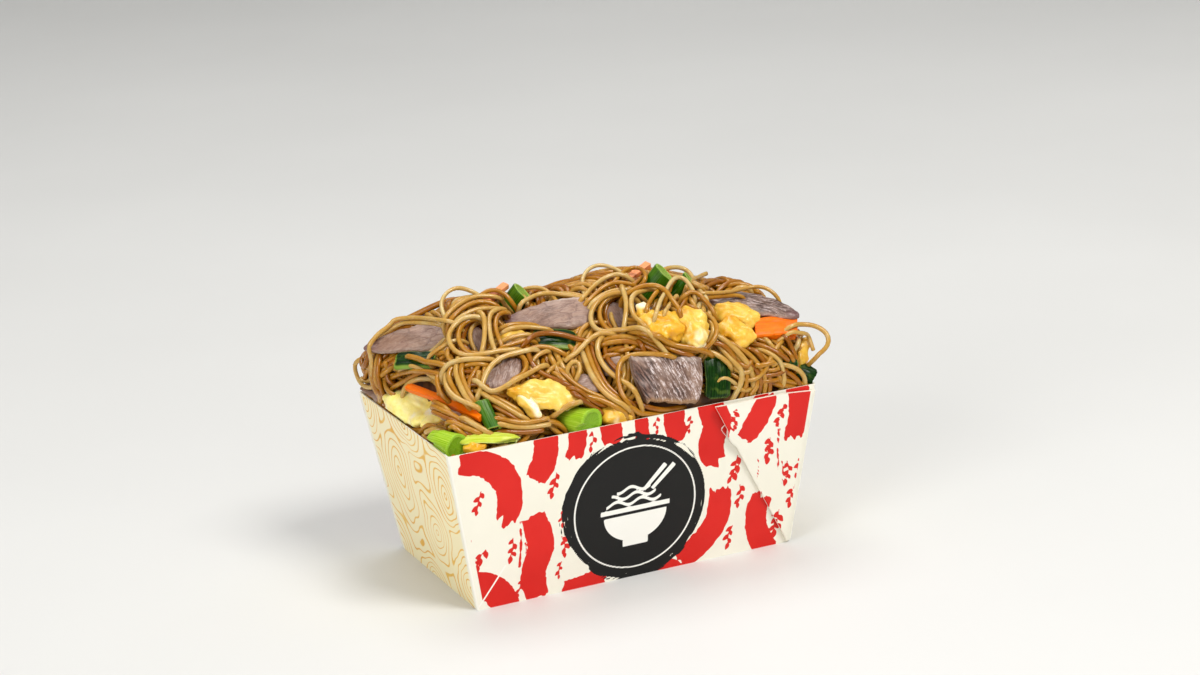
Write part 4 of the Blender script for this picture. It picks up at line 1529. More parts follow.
HEROES = [
    (0.92, 1.6, 0, (1, 1), 0.76, (), [(446, 322), (443, 314), (441, 306), (442, 299), (446, 293), (451, 289.5), (457, 287.5), (463, 288), (470, 290.5), (477, 293.5), (484, 298)]),
    (0.8, 1.6, 0, (1, 1), 0.84, (), [(378, 386), (368, 388), (361.5, 385), (358, 379), (355, 370), (354.5, 364), (358, 360), (366, 357), (376, 355), (388, 354.5), (397, 356), (404, 359)]),
    (0.8, 2.2, 0, (1, 1), 0.85, (), [(366, 350), (371, 343), (376, 336), (383, 330), (390, 326), (391.5, 321), (396, 319), (405, 318.5), (418, 318.5), (430, 319.5), (442, 320.5), (452, 322)]),
    (0.8, 1.6, 0, (1, 1), 0.8, (), [(374, 342), (384, 334), (394, 327), (402, 322.5), (412, 321.5), (424, 322), (436, 323)]),
    (0.92, 1.6, 0, (1, 1), 0.76, (), [(586, 298), (584, 292), (582.3, 285), (582.5, 278), (586, 271.5), (592, 266.5), (600, 264.8), (608, 266), (615, 268.5), (622, 272), (629, 277)]),
    (0.8, 1.8, 0, (1, 1), 0.8, (), [(514, 295), (519, 292), (524, 289.3), (532, 287.3), (541, 287.5), (547, 290.5), (553, 295), (558, 301)]),
    (0.8, 1.8, 0, (1, 1), 0.85, (), [(520, 305), (527, 300), (535, 295.5), (545, 293.5), (556, 294), (568, 295.3), (580, 296.5), (590, 301)]),
    (0.8, 3, 0, (1, 1), 0.74, (), [(703, 293.5), (715, 293.3), (728, 292.3), (738, 290.3), (746, 288), (754, 286.6), (763, 286.8), (770, 290), (776, 295), (780, 301), (781, 309)]),
    (0.56, 1.6, 0, (1, 1), 0.8, (), [(700, 297), (712, 296.5), (724, 296), (736, 295), (744, 297)]),
    (0.8, 2.4, 0, (1, 0), 0.86, (), [(782, 336), (792, 331), (800, 327), (810, 325.3), (820, 328), (827, 333), (830.5, 340), (829, 348), (823, 354.5), (816, 361), (811, 368)]),
    (0.8, 2.2, 0, (1, 0), 0.78, (), [(782, 340), (790, 337), (798, 335), (808, 333.8), (818, 335.3), (825, 338), (828.5, 343)]),
    (0.8, 2, 0, (1, 0), 0.78, (), [(808, 356), (813, 352), (819, 347), (826, 341.5)]),
    (0.56, 1.8, 0, (1, 1), 0.8, (), [(790, 338), (795, 340), (800, 343), (803, 348)]),
    (0.92, 2.4, 0, (1, 1), 0.8, (), [(660, 273), (665, 269.5), (672, 267.3), (680, 267.3), (688, 270.5), (693, 277), (697, 284), (701, 291), (707, 299)]),
    (0.92, 3.6, 0, (1, 1), 0.8, (), [(654, 324), (656, 318), (658, 311), (660, 302), (664, 294), (668, 286), (673, 279.3), (679, 276.5), (685, 278.5), (689, 284), (694, 291)]),
    (0.8, 2.4, 0, (1, 0), 0.78, (), [(684, 288), (690, 283), (696, 279), (702, 275.3), (706.5, 273.5)]),
    (0.56, 3.2, 0, (1, 1), 0.88, (), [(622, 294), (630, 291), (638, 288), (648, 285.5), (656, 285.5), (662, 288.5), (668, 294.5), (673, 302), (678, 310), (681, 318)]),
    (0.56, 2, 0, (1, 1), 0.8, (), [(614, 281), (618, 276), (625, 270.5), (633, 267.3), (641, 268.5), (646, 274), (647, 283)]),
    (0.8, 2.3, 0, (1, 1), 0.92, (), [(484, 318), (478, 316), (468, 317), (460, 320.5), (453, 327), (449, 335), (449, 343), (452, 349), (457, 354), (464, 356.8), (474, 356.3), (484, 354.3), (495, 352.3), (506, 351), (518, 350)]),
    (0.56, 0.6, 0, (1, 1), 0.86, (), [(476, 318), (466, 321), (460, 328), (457.5, 337), (459.5, 345), (465, 351.5), (472, 355)]),
    (0.34, -0.8, 1, (1, 1), 0.86, (), [(478, 319), (470, 323), (465, 330), (462.5, 338), (464.5, 346), (470, 353)]),
    (0.8, -1.6, 1, (1, 1), 0.8, (), [(480, 320), (474, 325), (469.5, 332), (469, 340), (471.5, 347), (476, 353)]),
    (0.34, -3.2, 1, (1, 1), 0.8, (), [(482, 322), (477, 328), (474.5, 335), (475.5, 343), (479, 350)]),
    (0.34, -1.2, 1, (1, 1), 0.8, (), [(470, 317), (463, 323), (458, 331), (456, 340), (459, 349)]),
    (0.8, 2.8, 0, (1, 1), 0.9, (), [(481, 313), (483.5, 318), (484.5, 326), (484.5, 335), (483.5, 344), (481.5, 352)]),
    (0.8, 2.6, 0, (1, 1), 0.92, (), [(513, 306), (506, 307), (498, 308.5), (491, 312.5), (488.5, 319), (489, 328), (491, 338), (494.5, 348), (501, 356)]),
    (0.56, 1.6, 0, (1, 1), 0.88, (), [(516, 309), (508, 310.5), (500, 313), (496, 319), (495.5, 328), (498, 338), (502, 347)]),
    (0.8, 1.9, 0, (1, 1), 0.85, (), [(445, 317), (452, 310), (460, 303.5), (468, 299.5), (478, 297), (488, 296.5), (498, 299)]),
    (0.56, 1.7, 0, (1, 1), 0.85, (), [(450, 319.5), (455, 314.5), (462, 308.5), (470, 304), (480, 301), (490, 301.5), (500, 304)]),
    (0.8, 1.5, 0, (1, 1), 0.85, (), [(454, 322), (460, 317), (470, 312), (480, 309), (490, 308), (500, 307)]),
    (0.56, 2, 0, (1, 1), 0.8, (), [(476, 299), (484, 292.5), (490, 289.5), (498, 290), (505, 294), (509, 300)]),
    (0.8, 2.4, 0, (1, 1), 0.84, (), [(428, 357), (434, 353.5), (440, 349), (445, 345.5), (450, 341)]),
    (0.56, 1.8, 0, (1, 1), 0.84, (), [(449, 348), (447, 354), (449, 360), (454, 364)]),
    (0.56, 1.2, 0, (1, 1), 0.84, (), [(440, 352), (447, 352), (452, 357), (453, 366)]),
    (0.8, 2.4, 0, (1, 1), 0.92, (), [(629, 294), (620, 292.5), (610, 294), (600, 299), (594, 306), (590.5, 314), (590.8, 322), (594, 328), (600, 333), (608, 335), (618, 333.3), (628, 332.2), (637, 332.3), (645, 335.3), (655, 342), (664, 350), (670, 357)]),
    (0.56, 0.6, 0, (1, 1), 0.86, (), [(618, 294), (608, 298), (601, 305), (599, 314), (601.5, 323), (607, 330), (614, 333)]),
    (0.34, -0.8, 1, (1, 1), 0.86, (), [(620, 296), (612, 300), (606.5, 307), (604.5, 315), (606.5, 323), (611.5, 330)]),
    (0.8, -1.8, 1, (1, 1), 0.8, (), [(622, 298), (616, 303), (611.5, 310), (611, 318), (613, 325), (617, 331)]),
    (0.34, -1.2, 1, (1, 1), 0.8, (), [(613, 295), (605, 301), (599.5, 309), (597.5, 317), (600, 326)]),
    (0.34, -3.2, 1, (1, 1), 0.8, (), [(624, 300), (619, 306), (616, 313), (617, 321), (620, 328)]),
    (0.8, 2.8, 0, (1, 1), 0.92, (), [(623, 288), (625.5, 294), (627, 302), (626.3, 312), (624.5, 322), (622.5, 331)]),
    (0.8, 2.6, 0, (1, 1), 0.92, (), [(646, 287), (639, 289.5), (632.5, 292), (630, 298), (631, 308), (634, 318), (638.5, 327), (646, 337)]),
    (0.8, 1.9, 0, (1, 1), 0.85, (), [(580, 303), (585, 297), (590, 290), (598, 282.5), (606, 277.5), (616, 275), (625, 276)]),
    (0.56, 1.8, 0, (1, 1), 0.85, (), [(585, 305), (591, 299), (598, 291.5), (606, 285.5), (616, 282.3), (626, 283.3), (636, 286)]),
    (0.8, 1.5, 0, (1, 1), 0.85, (), [(590, 307), (597, 299), (606, 293), (616, 289.5), (626, 288.5), (636, 289)]),
    (0.56, 2, 0, (1, 1), 0.86, (), [(646, 318), (648, 308), (652, 298), (657, 290)]),
    (0.8, 1.6, 0, (1, 1), 0.8, (), [(664, 320), (667, 311), (671, 303), (676, 296)]),
    (0.56, 3.4, 0, (1, 1), 0.86, (), [(697, 310), (703, 312), (709, 316.5), (714, 323), (716, 331), (714, 339), (709.5, 345.5), (703, 350.3), (694, 352.5), (684, 351)]),
    (0.8, 3, 0, (1, 1), 0.82, (), [(712, 322), (713.5, 330), (711, 338), (706, 344), (699, 348)]),
    (0.56, 1.8, 0, (1, 1), 0.82, (), [(684, 296), (690, 292), (697, 293), (703, 298), (709, 305), (714, 312)]),
    (0.56, 3.2, 0, (1, 1), 0.98, (), [(634, 331), (642, 334), (652, 338.5), (665, 343.3), (678, 347), (690, 349.3), (701, 350.5), (712, 353)]),
    (0.34, 2.4, 0, (1, 1), 0.92, (), [(640, 338), (652, 343), (664, 347), (676, 350.5), (690, 353)]),
    (0.56, 2.2, 0, (1, 1), 0.98, (5, ), [(596, 343), (602, 339.5), (612, 337), (626, 336.3), (640, 338.5), (652, 343.5), (662, 350), (671, 357)]),
    (0.34, 0.6, 0, (1, 1), 0.9, (), [(602, 352), (612, 349), (625, 347.5), (640, 349.5), (652, 353)]),
    (0.34, 0.2, 0, (1, 1), 0.9, (), [(602, 360), (612, 356), (622, 353.5)]),
    (0.8, 3, 0, (0, 1), 0.98, (), [(564.5, 361.5), (569, 358.3), (575, 354.5), (581, 348.5), (587, 342.5), (594, 338.3), (602, 335.8), (612, 334.8)]),
    (0.8, 2.7, 0, (1, 1), 1, (), [(580, 345), (583, 353), (586, 362), (591, 374), (598, 386), (606, 395.5), (616, 403), (627, 409)]),
    (0.56, 2.1, 0, (1, 1), 1, (), [(586, 345), (588.5, 354), (592, 364), (597, 376), (604, 388), (612, 397), (622, 404)]),
    (0.34, 1.4, 0, (1, 1), 0.98, (), [(592, 345), (593, 356), (597.5, 369), (604, 382), (612, 392), (622, 400.5), (632, 405)]),
    (0.8, 2.9, 0, (1, 1), 1, (), [(602, 336.5), (597.5, 341.5), (597, 350), (601, 361.5), (608, 371), (618, 378.5), (628, 386.5), (636, 396), (641.5, 406)]),
    (0.34, 1.2, 0, (1, 1), 0.9, (), [(607, 341), (604, 348), (606.5, 358), (613, 366), (619, 372)]),
    (0.56, 4, 0, (1, 1), 0.95, (), [(672, 358), (664, 355.5), (650, 354), (636, 354.3), (626, 357), (619.5, 363), (618, 373), (618.7, 383), (621, 393), (626, 405), (631, 415), (635, 422)]),
    (0.56, 2, 0, (1, 1), 0.9, (), [(573, 372), (570, 362), (574, 352), (580, 345.5)]),
    (0.8, 2.3, 0, (1, 1), 0.86, (), [(566, 376), (567, 369), (571, 363), (576, 360), (580, 364), (580, 371), (577, 378)]),
    (0.56, 2.4, 0, (1, 1), 0.98, (), [(557, 374), (562, 379), (568, 386), (578, 393), (590, 397.8), (602, 400.3), (614, 404.5), (626, 410)]),
    (0.56, 2, 0, (1, 1), 0.94, (), [(560, 369), (565, 374), (572, 381.5), (582, 388.5), (592, 393.5), (604, 398), (616, 403)]),
    (0.34, 1.2, 0, (1, 1), 0.92, (5.2, ), [(566, 392), (576, 399), (588, 403.8), (600, 406.3), (610, 407)]),
    (0.56, 1.6, 0, (1, 1), 1, (), [(612, 405), (622, 408.5), (635, 412), (650, 414), (664, 415.5), (676, 414)]),
    (0.34, 0.6, 0, (1, 1), 0.95, (), [(640, 405), (652, 408.5), (666, 410.5), (680, 409)]),
    (0.8, 1.6, 0, (1, 1), 0.95, (), [(557, 415.5), (570, 411.5), (580, 406.8), (588, 404.5)]),
    (0.56, 1.4, 0, (1, 1), 0.95, (), [(536, 424), (546, 420.5), (555, 418)]),
    (0.34, 2.8, 0, (1, 1), 0.92, (), [(526, 345), (531, 339), (537, 335), (548, 333.3), (560, 334.3), (570, 337), (580, 341), (590, 343.5)]),
    (0.34, 2.7, 0, (1, 1), 0.9, (), [(528, 338.5), (525, 344.5), (526.5, 352), (529, 361), (536, 369), (546, 376), (556, 381.5), (563, 388)]),
    (0.56, 2, 0, (1, 1), 0.86, (), [(522, 351), (530, 348), (540, 347), (550, 349), (560, 352), (568, 356)]),
    (0.8, 2.2, 0, (1, 1), 0.82, (), [(546, 350), (539, 353.5), (533, 359), (529.5, 366), (533, 373)]),
    (0.8, 1.8, 0, (1, 1), 0.84, (), [(500, 341), (508, 338), (518, 336), (528, 335.5), (538, 337)]),
    (0.56, 1.8, 0, (1, 1), 0.84, (), [(503, 348), (512, 345), (522, 343), (532, 341)]),
    (0.8, 1.6, 0, (1, 1), 0.84, (), [(506, 331), (516, 328), (526, 327), (538, 328), (550, 330)]),
    (0.56, 1.4, 0, (1, 1), 0.84, (), [(504, 326), (514, 324), (526, 323.5), (540, 324)]),
    (0.56, 1.4, 0, (1, 1), 0.84, (), [(571, 345), (576, 352), (574, 360), (569, 367)]),
    (0.8, 3, 0, (1, 1), 0.92, (), [(479, 396), (482.5, 389), (484, 380), (488, 370.5), (494, 362.5), (503, 356.5), (514, 353.3), (524, 351.3), (534, 349)]),
    (0.8, 3.2, 0, (1, 1), 0.92, (), [(478, 383), (483, 389), (490, 393), (500, 390.3), (511, 384.5), (522, 378), (534, 371), (544, 366)]),
    (0.56, 1.8, 0, (1, 1), 0.84, (), [(524, 355), (528, 361), (527, 369), (521, 377), (512, 384)]),
    (0.8, 3, 0, (0, 1), 0.95, (), [(426.5, 387), (431, 382.5), (437, 377), (444, 369.5), (452, 364), (462, 361), (475, 359), (487, 358), (497, 357.5)]),
    (0.8, 2.6, 0, (1, 1), 0.92, (), [(456, 361), (455, 370), (458, 380), (462.5, 390), (467, 399), (474, 406)]),
    (0.56, 1.8, 0, (1, 1), 0.88, (), [(462.5, 361), (461, 371), (463.5, 382), (468, 392), (474, 401)]),
    (0.56, 2, 0, (1, 1), 0.95, (), [(452, 365), (447.5, 373), (448.5, 382), (453, 391), (460, 399), (470, 406)]),
    (0.8, 2.3, 0, (1, 1), 0.92, (), [(443, 371), (446, 382), (452, 392), (460, 399.5), (469, 404), (478, 409)]),
    (0.56, 1.8, 0, (1, 1), 0.92, (), [(437, 378), (438, 387), (441, 394), (445, 397)]),
    (0.56, 1.2, 0, (1, 1), 0.88, (), [(430, 388), (433, 392), (437, 389), (440, 382)]),
    (0.34, 0.8, 0, (1, 1), 0.86, (), [(462, 370), (474, 370.5), (486, 369.5)]),
    (0.34, 0.2, 0, (1, 1), 0.86, (), [(464, 378), (475, 377), (485, 378)]),
    (0.56, 1.4, 0, (1, 1), 0.88, (), [(466, 364.5), (476, 363.5), (488, 364)]),
    (0.34, 0.2, 0, (1, 1), 0.84, (), [(468, 385), (477, 384), (486, 386)]),
    (0.56, 1.8, 0, (0, 1), 0.9, (), [(359, 369), (366, 365.5), (375, 362), (385, 362), (394, 366)]),
    (0.8, 1.9, 0, (0, 1), 0.88, (), [(362, 378), (369, 372), (378, 368), (388, 366.5), (398, 369)]),
    (0.56, 2.2, 0, (0, 1), 0.88, (), [(363, 385.5), (371, 382), (381, 380.5), (390, 378.3), (399, 373.8), (409, 371), (421, 371.3), (432, 373.8), (442, 376)]),
    (0.8, 1.4, 0, (1, 1), 0.86, (), [(366, 360), (376, 358.5), (388, 359.5), (398, 362)]),
    (0.34, 2.8, 0, (1, 1), 0.9, (), [(402, 357), (393, 362), (387.5, 369), (387, 377), (389.5, 384), (393.5, 388.5)]),
    (0.56, 2, 0, (1, 1), 0.86, (), [(382, 364), (384, 373), (385.5, 383), (389, 392), (397, 399)]),
    (0.56, 2, 0, (1, 1), 0.88, (), [(393, 386), (401, 382.8), (410, 378.3), (418, 373)]),
    (0.8, 1.8, 0, (1, 1), 0.86, (), [(400, 394), (404, 387), (410, 381), (418, 377)]),
    (0.34, 1.2, 0, (1, 1), 0.84, (), [(374, 382), (379, 388), (384, 394)]),
    (0.56, 2.7, 0, (1, 1), 0.98, (), [(394, 361), (399, 358.7), (406, 357.5), (416, 358), (428, 361), (440, 364.3), (448, 368.5)]),
    (0.8, 2.2, 0, (1, 1), 0.8, (), [(398, 368.5), (410, 368), (422, 371), (434, 375.5), (442, 381)]),
    (0.56, 1.4, 0, (1, 1), 0.98, (), [(428, 402), (433, 406), (440, 410.5), (449, 415), (458, 419.5), (468, 424)]),
    (0.34, 0.8, 0, (1, 1), 0.95, (), [(434, 411), (441, 415.5), (449, 420), (456, 423.5), (464, 428)]),
    (0.56, 0.6, 0, (1, 1), 0.92, (), [(450, 428), (457, 430.5), (465, 433)]),
    (0.8, 2.4, 0, (1, 1), 0.95, (), [(458, 416), (467, 420.5), (476, 425.5), (485, 430), (494, 433)]),
    (0.56, 1.6, 0, (1, 1), 0.92, (), [(452, 421), (462, 426), (472, 430.5), (482, 433)]),
    (0.8, 2.2, 0, (1, 1), 0.95, (), [(482, 392), (490, 399), (500, 405), (510, 411), (519, 417), (528, 421)]),
    (0.56, 1.7, 0, (1, 1), 0.92, (), [(490, 396), (500, 400), (510, 405.5), (520, 411.5)]),
    (0.34, 1.2, 0, (1, 1), 0.92, (), [(496, 406), (504, 412), (514, 418), (526, 423)]),
    (0.56, 2, 0, (1, 0), 0.95, (), [(497, 420), (510, 421.5), (524, 422), (537, 421), (548, 419)]),
    (0.8, 1.8, 0, (1, 0), 0.95, (), [(499, 426), (512, 427.3), (526, 427.5), (540, 426), (550, 424)]),
    (0.34, 1.2, 0, (1, 0), 0.92, (), [(501, 431), (514, 432), (528, 431.5), (543, 429)]),
    (0.56, 1.2, 0, (1, 1), 0.9, (), [(500, 414), (510, 417), (520, 418), (532, 417)]),
    (0.56, 0.8, 0, (1, 1), 0.95, (), [(424, 396), (431, 401), (438, 407), (446, 414.5), (454, 422)]),
    (0.34, 0.2, 0, (1, 1), 0.92, (), [(452, 421), (459, 426), (466, 431), (473, 434)]),
    (0.8, 3, 0, (1, 1), 1, (), [(712, 333), (718, 337), (724, 341), (732, 348), (741, 356.3), (749, 366), (754, 376.5), (755, 387), (753, 398)]),
    (0.8, 2.5, 0, (1, 1), 0.98, (), [(718, 339), (722, 345), (727, 353), (734, 360), (740.5, 366.5), (743.5, 374.5), (741, 385), (735.5, 395), (733, 401)]),
    (0.56, 2.7, 0, (1, 1), 1, (), [(728, 342), (736, 346.5), (746, 352.5), (755, 361), (762, 370.5), (766, 381), (765.5, 394)]),
    (0.34, 2, 0, (1, 1), 1, (), [(738, 344), (748, 346.5), (757, 350.5), (763, 358), (767.5, 368), (770, 378), (770, 390)]),
    (0.56, 1.8, 0, (1, 1), 0.95, (), [(730, 350), (738, 357), (745, 366), (748, 376), (746, 388), (742, 398)]),
    (0.34, 1.6, 0, (1, 1), 0.95, (), [(736, 352), (746, 362), (756, 373), (760, 384), (759, 396)]),
    (0.34, 0.8, 0, (1, 1), 0.9, (), [(742, 372), (747, 383), (748, 397)]),
    (0.8, 2.6, 0, (1, 1), 0.95, (), [(776, 361), (780, 365.3), (788, 366.3), (797, 369.3), (803.5, 375.5), (806, 384), (806, 392)]),
    (0.56, 2.1, 0, (1, 1), 0.95, (4.8, ), [(758, 374), (766, 377), (776, 379.5), (787, 382.3), (798, 384.3), (806, 386)]),
    (0.56, 2.2, 0, (1, 1), 0.95, (), [(757, 352), (764, 356.5), (771, 363), (776, 371), (781, 379)]),
    (0.8, 2.2, 0, (1, 1), 0.9, (), [(762, 350), (770, 354), (778, 361), (783, 370), (784, 379)]),
    (0.34, 1.8, 0, (1, 1), 0.92, (), [(754, 343), (763, 346.5), (772, 351), (780, 356.5), (788, 360)]),
    (0.56, 1.6, 0, (1, 1), 0.92, (), [(760, 338), (768, 342), (776, 347), (784, 352)]),
    (0.8, 1.8, 0, (1, 1), 0.84, (), [(766, 339), (771, 346), (777, 353), (781, 360)]),
    (0.56, 1.4, 0, (1, 1), 0.88, (), [(774, 338), (780, 345), (787, 352), (792, 359)]),
    (0.34, 1.2, 0, (1, 1), 0.88, (), [(784, 338), (790, 346), (794, 354), (796, 361)]),
    (0.8, 3, 0, (1, 1), 0.86, (), [(698, 347), (706, 350), (714, 353.5), (722, 358.5), (729, 364)]),
    (0.8, 3.2, 0, (1, 1), 0.7, (), [(714, 396), (716, 391), (721, 388), (727, 385.5), (733, 386)]),
    (0.56, 1, 0, (1, 1), 0.9, (), [(752, 396), (758, 386), (757, 374), (750, 364)]),
    (0.34, 1.8, 0, (1, 1), 0.92, (), [(704, 344), (712, 342), (720, 344), (728, 350), (734, 358)]),
    (0.34, 1, 0, (1, 1), 0.9, (), [(776, 370), (786, 372), (794, 377), (800, 385)]),
]


def hero_strand(lift, pits, points, tuck, shift=0.0):
    """a strand seen at given places of the frame, laid on the heap or standing off it as a loop"""
    px = spline(np.array(points, float), 4.0)
    if shift:
        t = unit(np.gradient(px, axis=0))
        k = np.arange(len(px))
        px = px + np.stack([-t[:, 1], t[:, 0]], -1) * (shift * (0.85 + 0.35 * noise2(k / 6.0 + points[0][0], k * 0 + 0.5, 4)))[:, None]
        px = px[1:-2] if len(px) > 8 else px
    depth, have = [], []
    for a, b in px:
        h = hit(a, b, lift, pits)
        depth.append(np.nan if h is None else (h - EYE) @ (-BACK))
    depth = np.array(depth)
    good = np.isfinite(depth)
    if not good.any():
        at = np.array([(px[:, 0].mean() - 600) / 2.62, RIDGE_Y, 90.0])
        depth[:] = (at - EYE) @ (-BACK)
    else:
        k = np.arange(len(px))
        depth = np.interp(k, k[good], depth[good])
    w = np.exp(-0.5 * (np.arange(-6, 7) / 2.4) ** 2)
    w /= w.sum()
    pad = np.r_[[depth[0]] * 6, depth, [depth[-1]] * 6]
    depth = np.convolve(pad, w, "valid")
    P = []
    for (a, b), z in zip(px, depth):
        d = ray(a, b)
        P.append(EYE + d * (z / (d @ (-BACK))))
    P = np.array(P)
    for end in (0, 1):
        if tuck[end]:
            q = P[-1] if end else P[0]
            t = unit(P[-1] - P[-3]) if end else unit(P[0] - P[2])
            z, n = look(q[0:1], q[1:2], pits)
            more = [q + t * 2.4 - n[0] * 2.0, q + t * 3.6 - n[0] * 4.6, q + t * 4.0 - n[0] * 7.2]
            P = np.vstack([P, more]) if end else np.vstack([more[::-1], P])
    return spline(P, 2.0)


def walk(rng, start, heading, length, kappa, swing, edge=(66.0, 37.0), stop=(73.5, 44.5)):
    """a path along the heap: heading turns at a slowly varying rate, and turns back at the rim"""
    step = 2.0
    n = int(length / step)
    x, y = start
    a = heading
    out = []
    ph = rng.uniform(0, 50)
    for i in range(n):
        out.append((x, y))
        z, nn = look(np.array([x]), np.array([y]), 0)
        nx, ny, nz = nn[0]
        d = np.array([math.cos(a), math.sin(a), 0.0])
        d[2] = -(nx * d[0] + ny * d[1]) / max(nz, 0.15)
        d = d / np.linalg.norm(d)
        x, y = x + d[0] * step, y + d[1] * step
        turn = kappa + swing * float(noise2(i * step / 16.0 + ph, 0.5, 3))
        # steer inward near the rim
        ex, ey = abs(x) - edge[0], abs(y) - edge[1]
        if ex > 0 or ey > 0:
            to = math.atan2(-y * (1.6 if ey > 0 else 0.3), -x * (1.0 if ex > 0 else 0.2))
            diff = (to - a + math.pi) % (2 * math.pi) - math.pi
            turn = turn * 0.5 + math.copysign(min(abs(diff), 0.9), diff) * 0.13 * min(1.5, max(ex, ey) / 4.0)
        a += turn * step
        x, y = float(np.clip(x, -stop[0], stop[0])), float(np.clip(y, -stop[1], stop[1]))
    return np.array(out)


def flow(x, y, rng):
    """the heading that strands prefer at a place of the heap, in radians"""
    if x < -38 and y < 8:
        a = -48
    elif x > 30 and y < -6:
        a = -78
    elif y > 16:
        a = 12 * math.sin(x * 0.07)
    else:
        a = -8
    a += rng.normal(0, 34)
    if rng.random() < 0.16:
        a += 90
    if rng.random() < 0.5:
        a += 180
    return math.radians(a)


def wall_strand(k, rng):
    """a strand that hangs along the inside of the far walls, just above the rim"""
    ph = rng.uniform(0, 60)
    length = rng.uniform(26, 78)
    n = int(length / 2.0)
    s = np.arange(n) * 2.0
    along = 5.0 + ((k * 0.618034) % 1.0) * (300.0 - length) + s      # along the right, back and left walls, in mm
    level = 62.6 + 13.0 * ((k * 0.381966) % 1.0) ** 1.2
    z = level + rng.uniform(0.6, 4.5) * np.sin(2 * np.pi * s / rng.uniform(24, 60) + ph) \
        + 1.6 * noise2(s / 9.0 + ph, np.full(n, 0.5), 33)
    z = np.clip(z, 62.0 + 0.6 * noise2(s / 7.0 + ph, np.full(n, 2.5), 34), 84.0)
    wx = 72.8 + 0.4 * sm((z - 62.0) / 3.0) + 4.0 * sm((z - 65.0) / 7.0) - 3.0 * sm((z - 77.0) / 9.0)
    wy = np.minimum(44.6 + 1.3 * sm((z - 65.0) / 5.0), 45.7 - 0.65 * (z - 75.0))
    wx = np.where(along > 236.0, 73.2 + 1.6 * sm((z - 66.0) / 7.0) - 0.5 * np.maximum(z - 74.0, 0), wx)
    # the wall's line, from the front right corner round the back, with rounded corners
    sx = np.where(along < 88, 1.0, np.where(along < 236, 1 - 2 * (along - 88) / 148.0, -1.0))
    sy = np.where(along < 88, 2 * along / 88.0 - 1, np.where(along < 236, 1.0, 1 - 2 * (along - 236) / 88.0))
    q = (np.abs(sx) ** 9 + np.abs(sy) ** 9) ** (-1 / 9)
    deep = rng.uniform(0.0, 3.0) + 0.8 * noise2(s / 13.0 + ph, np.full(n, 7.5), 35)
    return np.stack([sx * q * (wx - deep), sy * q * (wy - deep), z], -1)


def rim_start(k, rng):
    """a start on the steep sides of the heap and a heading, mostly along the side"""
    a, t = (k * 0.618034) % 1.0, rng.random()
    span = rng.random() * 2 - 1
    if a < 0.27:
        at, head = (75.2 - 13.0 * t ** 1.6, span * 43), 90
    elif a < 0.62:
        at, head = (span * 72, 45.3 - 13.0 * t ** 1.5), 0
    elif a < 0.76:
        at, head = (-75.0 + 12.0 * t ** 1.6, span * 43), 90
    else:
        at, head = (span * 72, -45.4 + 9.0 * t ** 1.5), 0
    head += rng.normal(0, 26) + (90 if rng.random() < 0.22 else 0) + (180 if rng.random() < 0.5 else 0)
    return at, math.radians(head)


class Heap:
    """strands laid one after another, each resting on those below, then eased apart"""

    def __init__(self):
        self.strands, self.kind, self.hero, self.cap, self.thick = [], [], [], [], []
        # the lowest strands lie deep on the top of the heap and close to the surface on its steep sides
        side = np.maximum(sm((np.abs(GX[:, None]) - 62.0) / 6.0), sm((np.abs(GY[None, :]) - 33.0) / 5.0))
        self.top = -8.6 + 4.2 * side

    def lay(self, xy, lateral, rng, tuck=(True, True), cap=1.2):
        z, n = look(xy[:, 0], xy[:, 1], 1)
        P = np.c_[xy, z]
        lx, ly = lean_of(P[:, 0], P[:, 1], P[:, 2])
        t = unit(np.gradient(P, axis=0))
        side = unit(np.cross(n, t))
        Q = P + side * lateral[:, None]
        z2, n2 = look(Q[:, 0], Q[:, 1], 1)
        i = np.clip(np.round(Q[:, 0] - GX[0]).astype(int), 1, len(GX) - 2)
        j = np.clip(np.round(Q[:, 1] - GY[0]).astype(int), 1, len(GY) - 2)
        under = np.max([self.top[i + a, j + b] for a in (-1, 0, 1) for b in (-1, 0, 1)], axis=0)
        o = np.minimum(under + STRAND_R, cap + 0.6)
        pad = np.r_[[o[0]] * 3, o, [o[-1]] * 3]
        o2 = np.max([pad[k:k + len(o)] for k in range(2, 5)], axis=0)
        w = np.exp(-0.5 * (np.arange(-4, 5) / 1.9) ** 2)
        w /= w.sum()
        pad = np.r_[[o2[0]] * 4, o2, [o2[-1]] * 4]
        o = np.convolve(pad, w, "valid")
        m = len(o)
        for end in (0, 1):
            if tuck[end]:
                k = np.arange(m) if end == 0 else np.arange(m)[::-1]
                o = o - 5.5 * (1 - sm(k / 5.0))
        R = np.stack([Q[:, 0], Q[:, 1], z2], -1)
        lx, ly = lean_of(R[:, 0], R[:, 1], R[:, 2])
        R[:, 0] += lx
        R[:, 1] += ly
        R = R + n2 * o[:, None]
        for a in (-1, 0, 1):
            for b in (-1, 0, 1):
                h = o + STRAND_R * (0.85 if a == 0 and b == 0 else 0.35)
                np.maximum.at(self.top, (i + a, j + b), h)
        return R

    def add(self, P, kind, hero, cap, thick):
        self.thick.append(thick)
        self.strands.append(P)
        self.kind.append(kind)
        self.hero.append(hero)
        self.cap.append(cap)


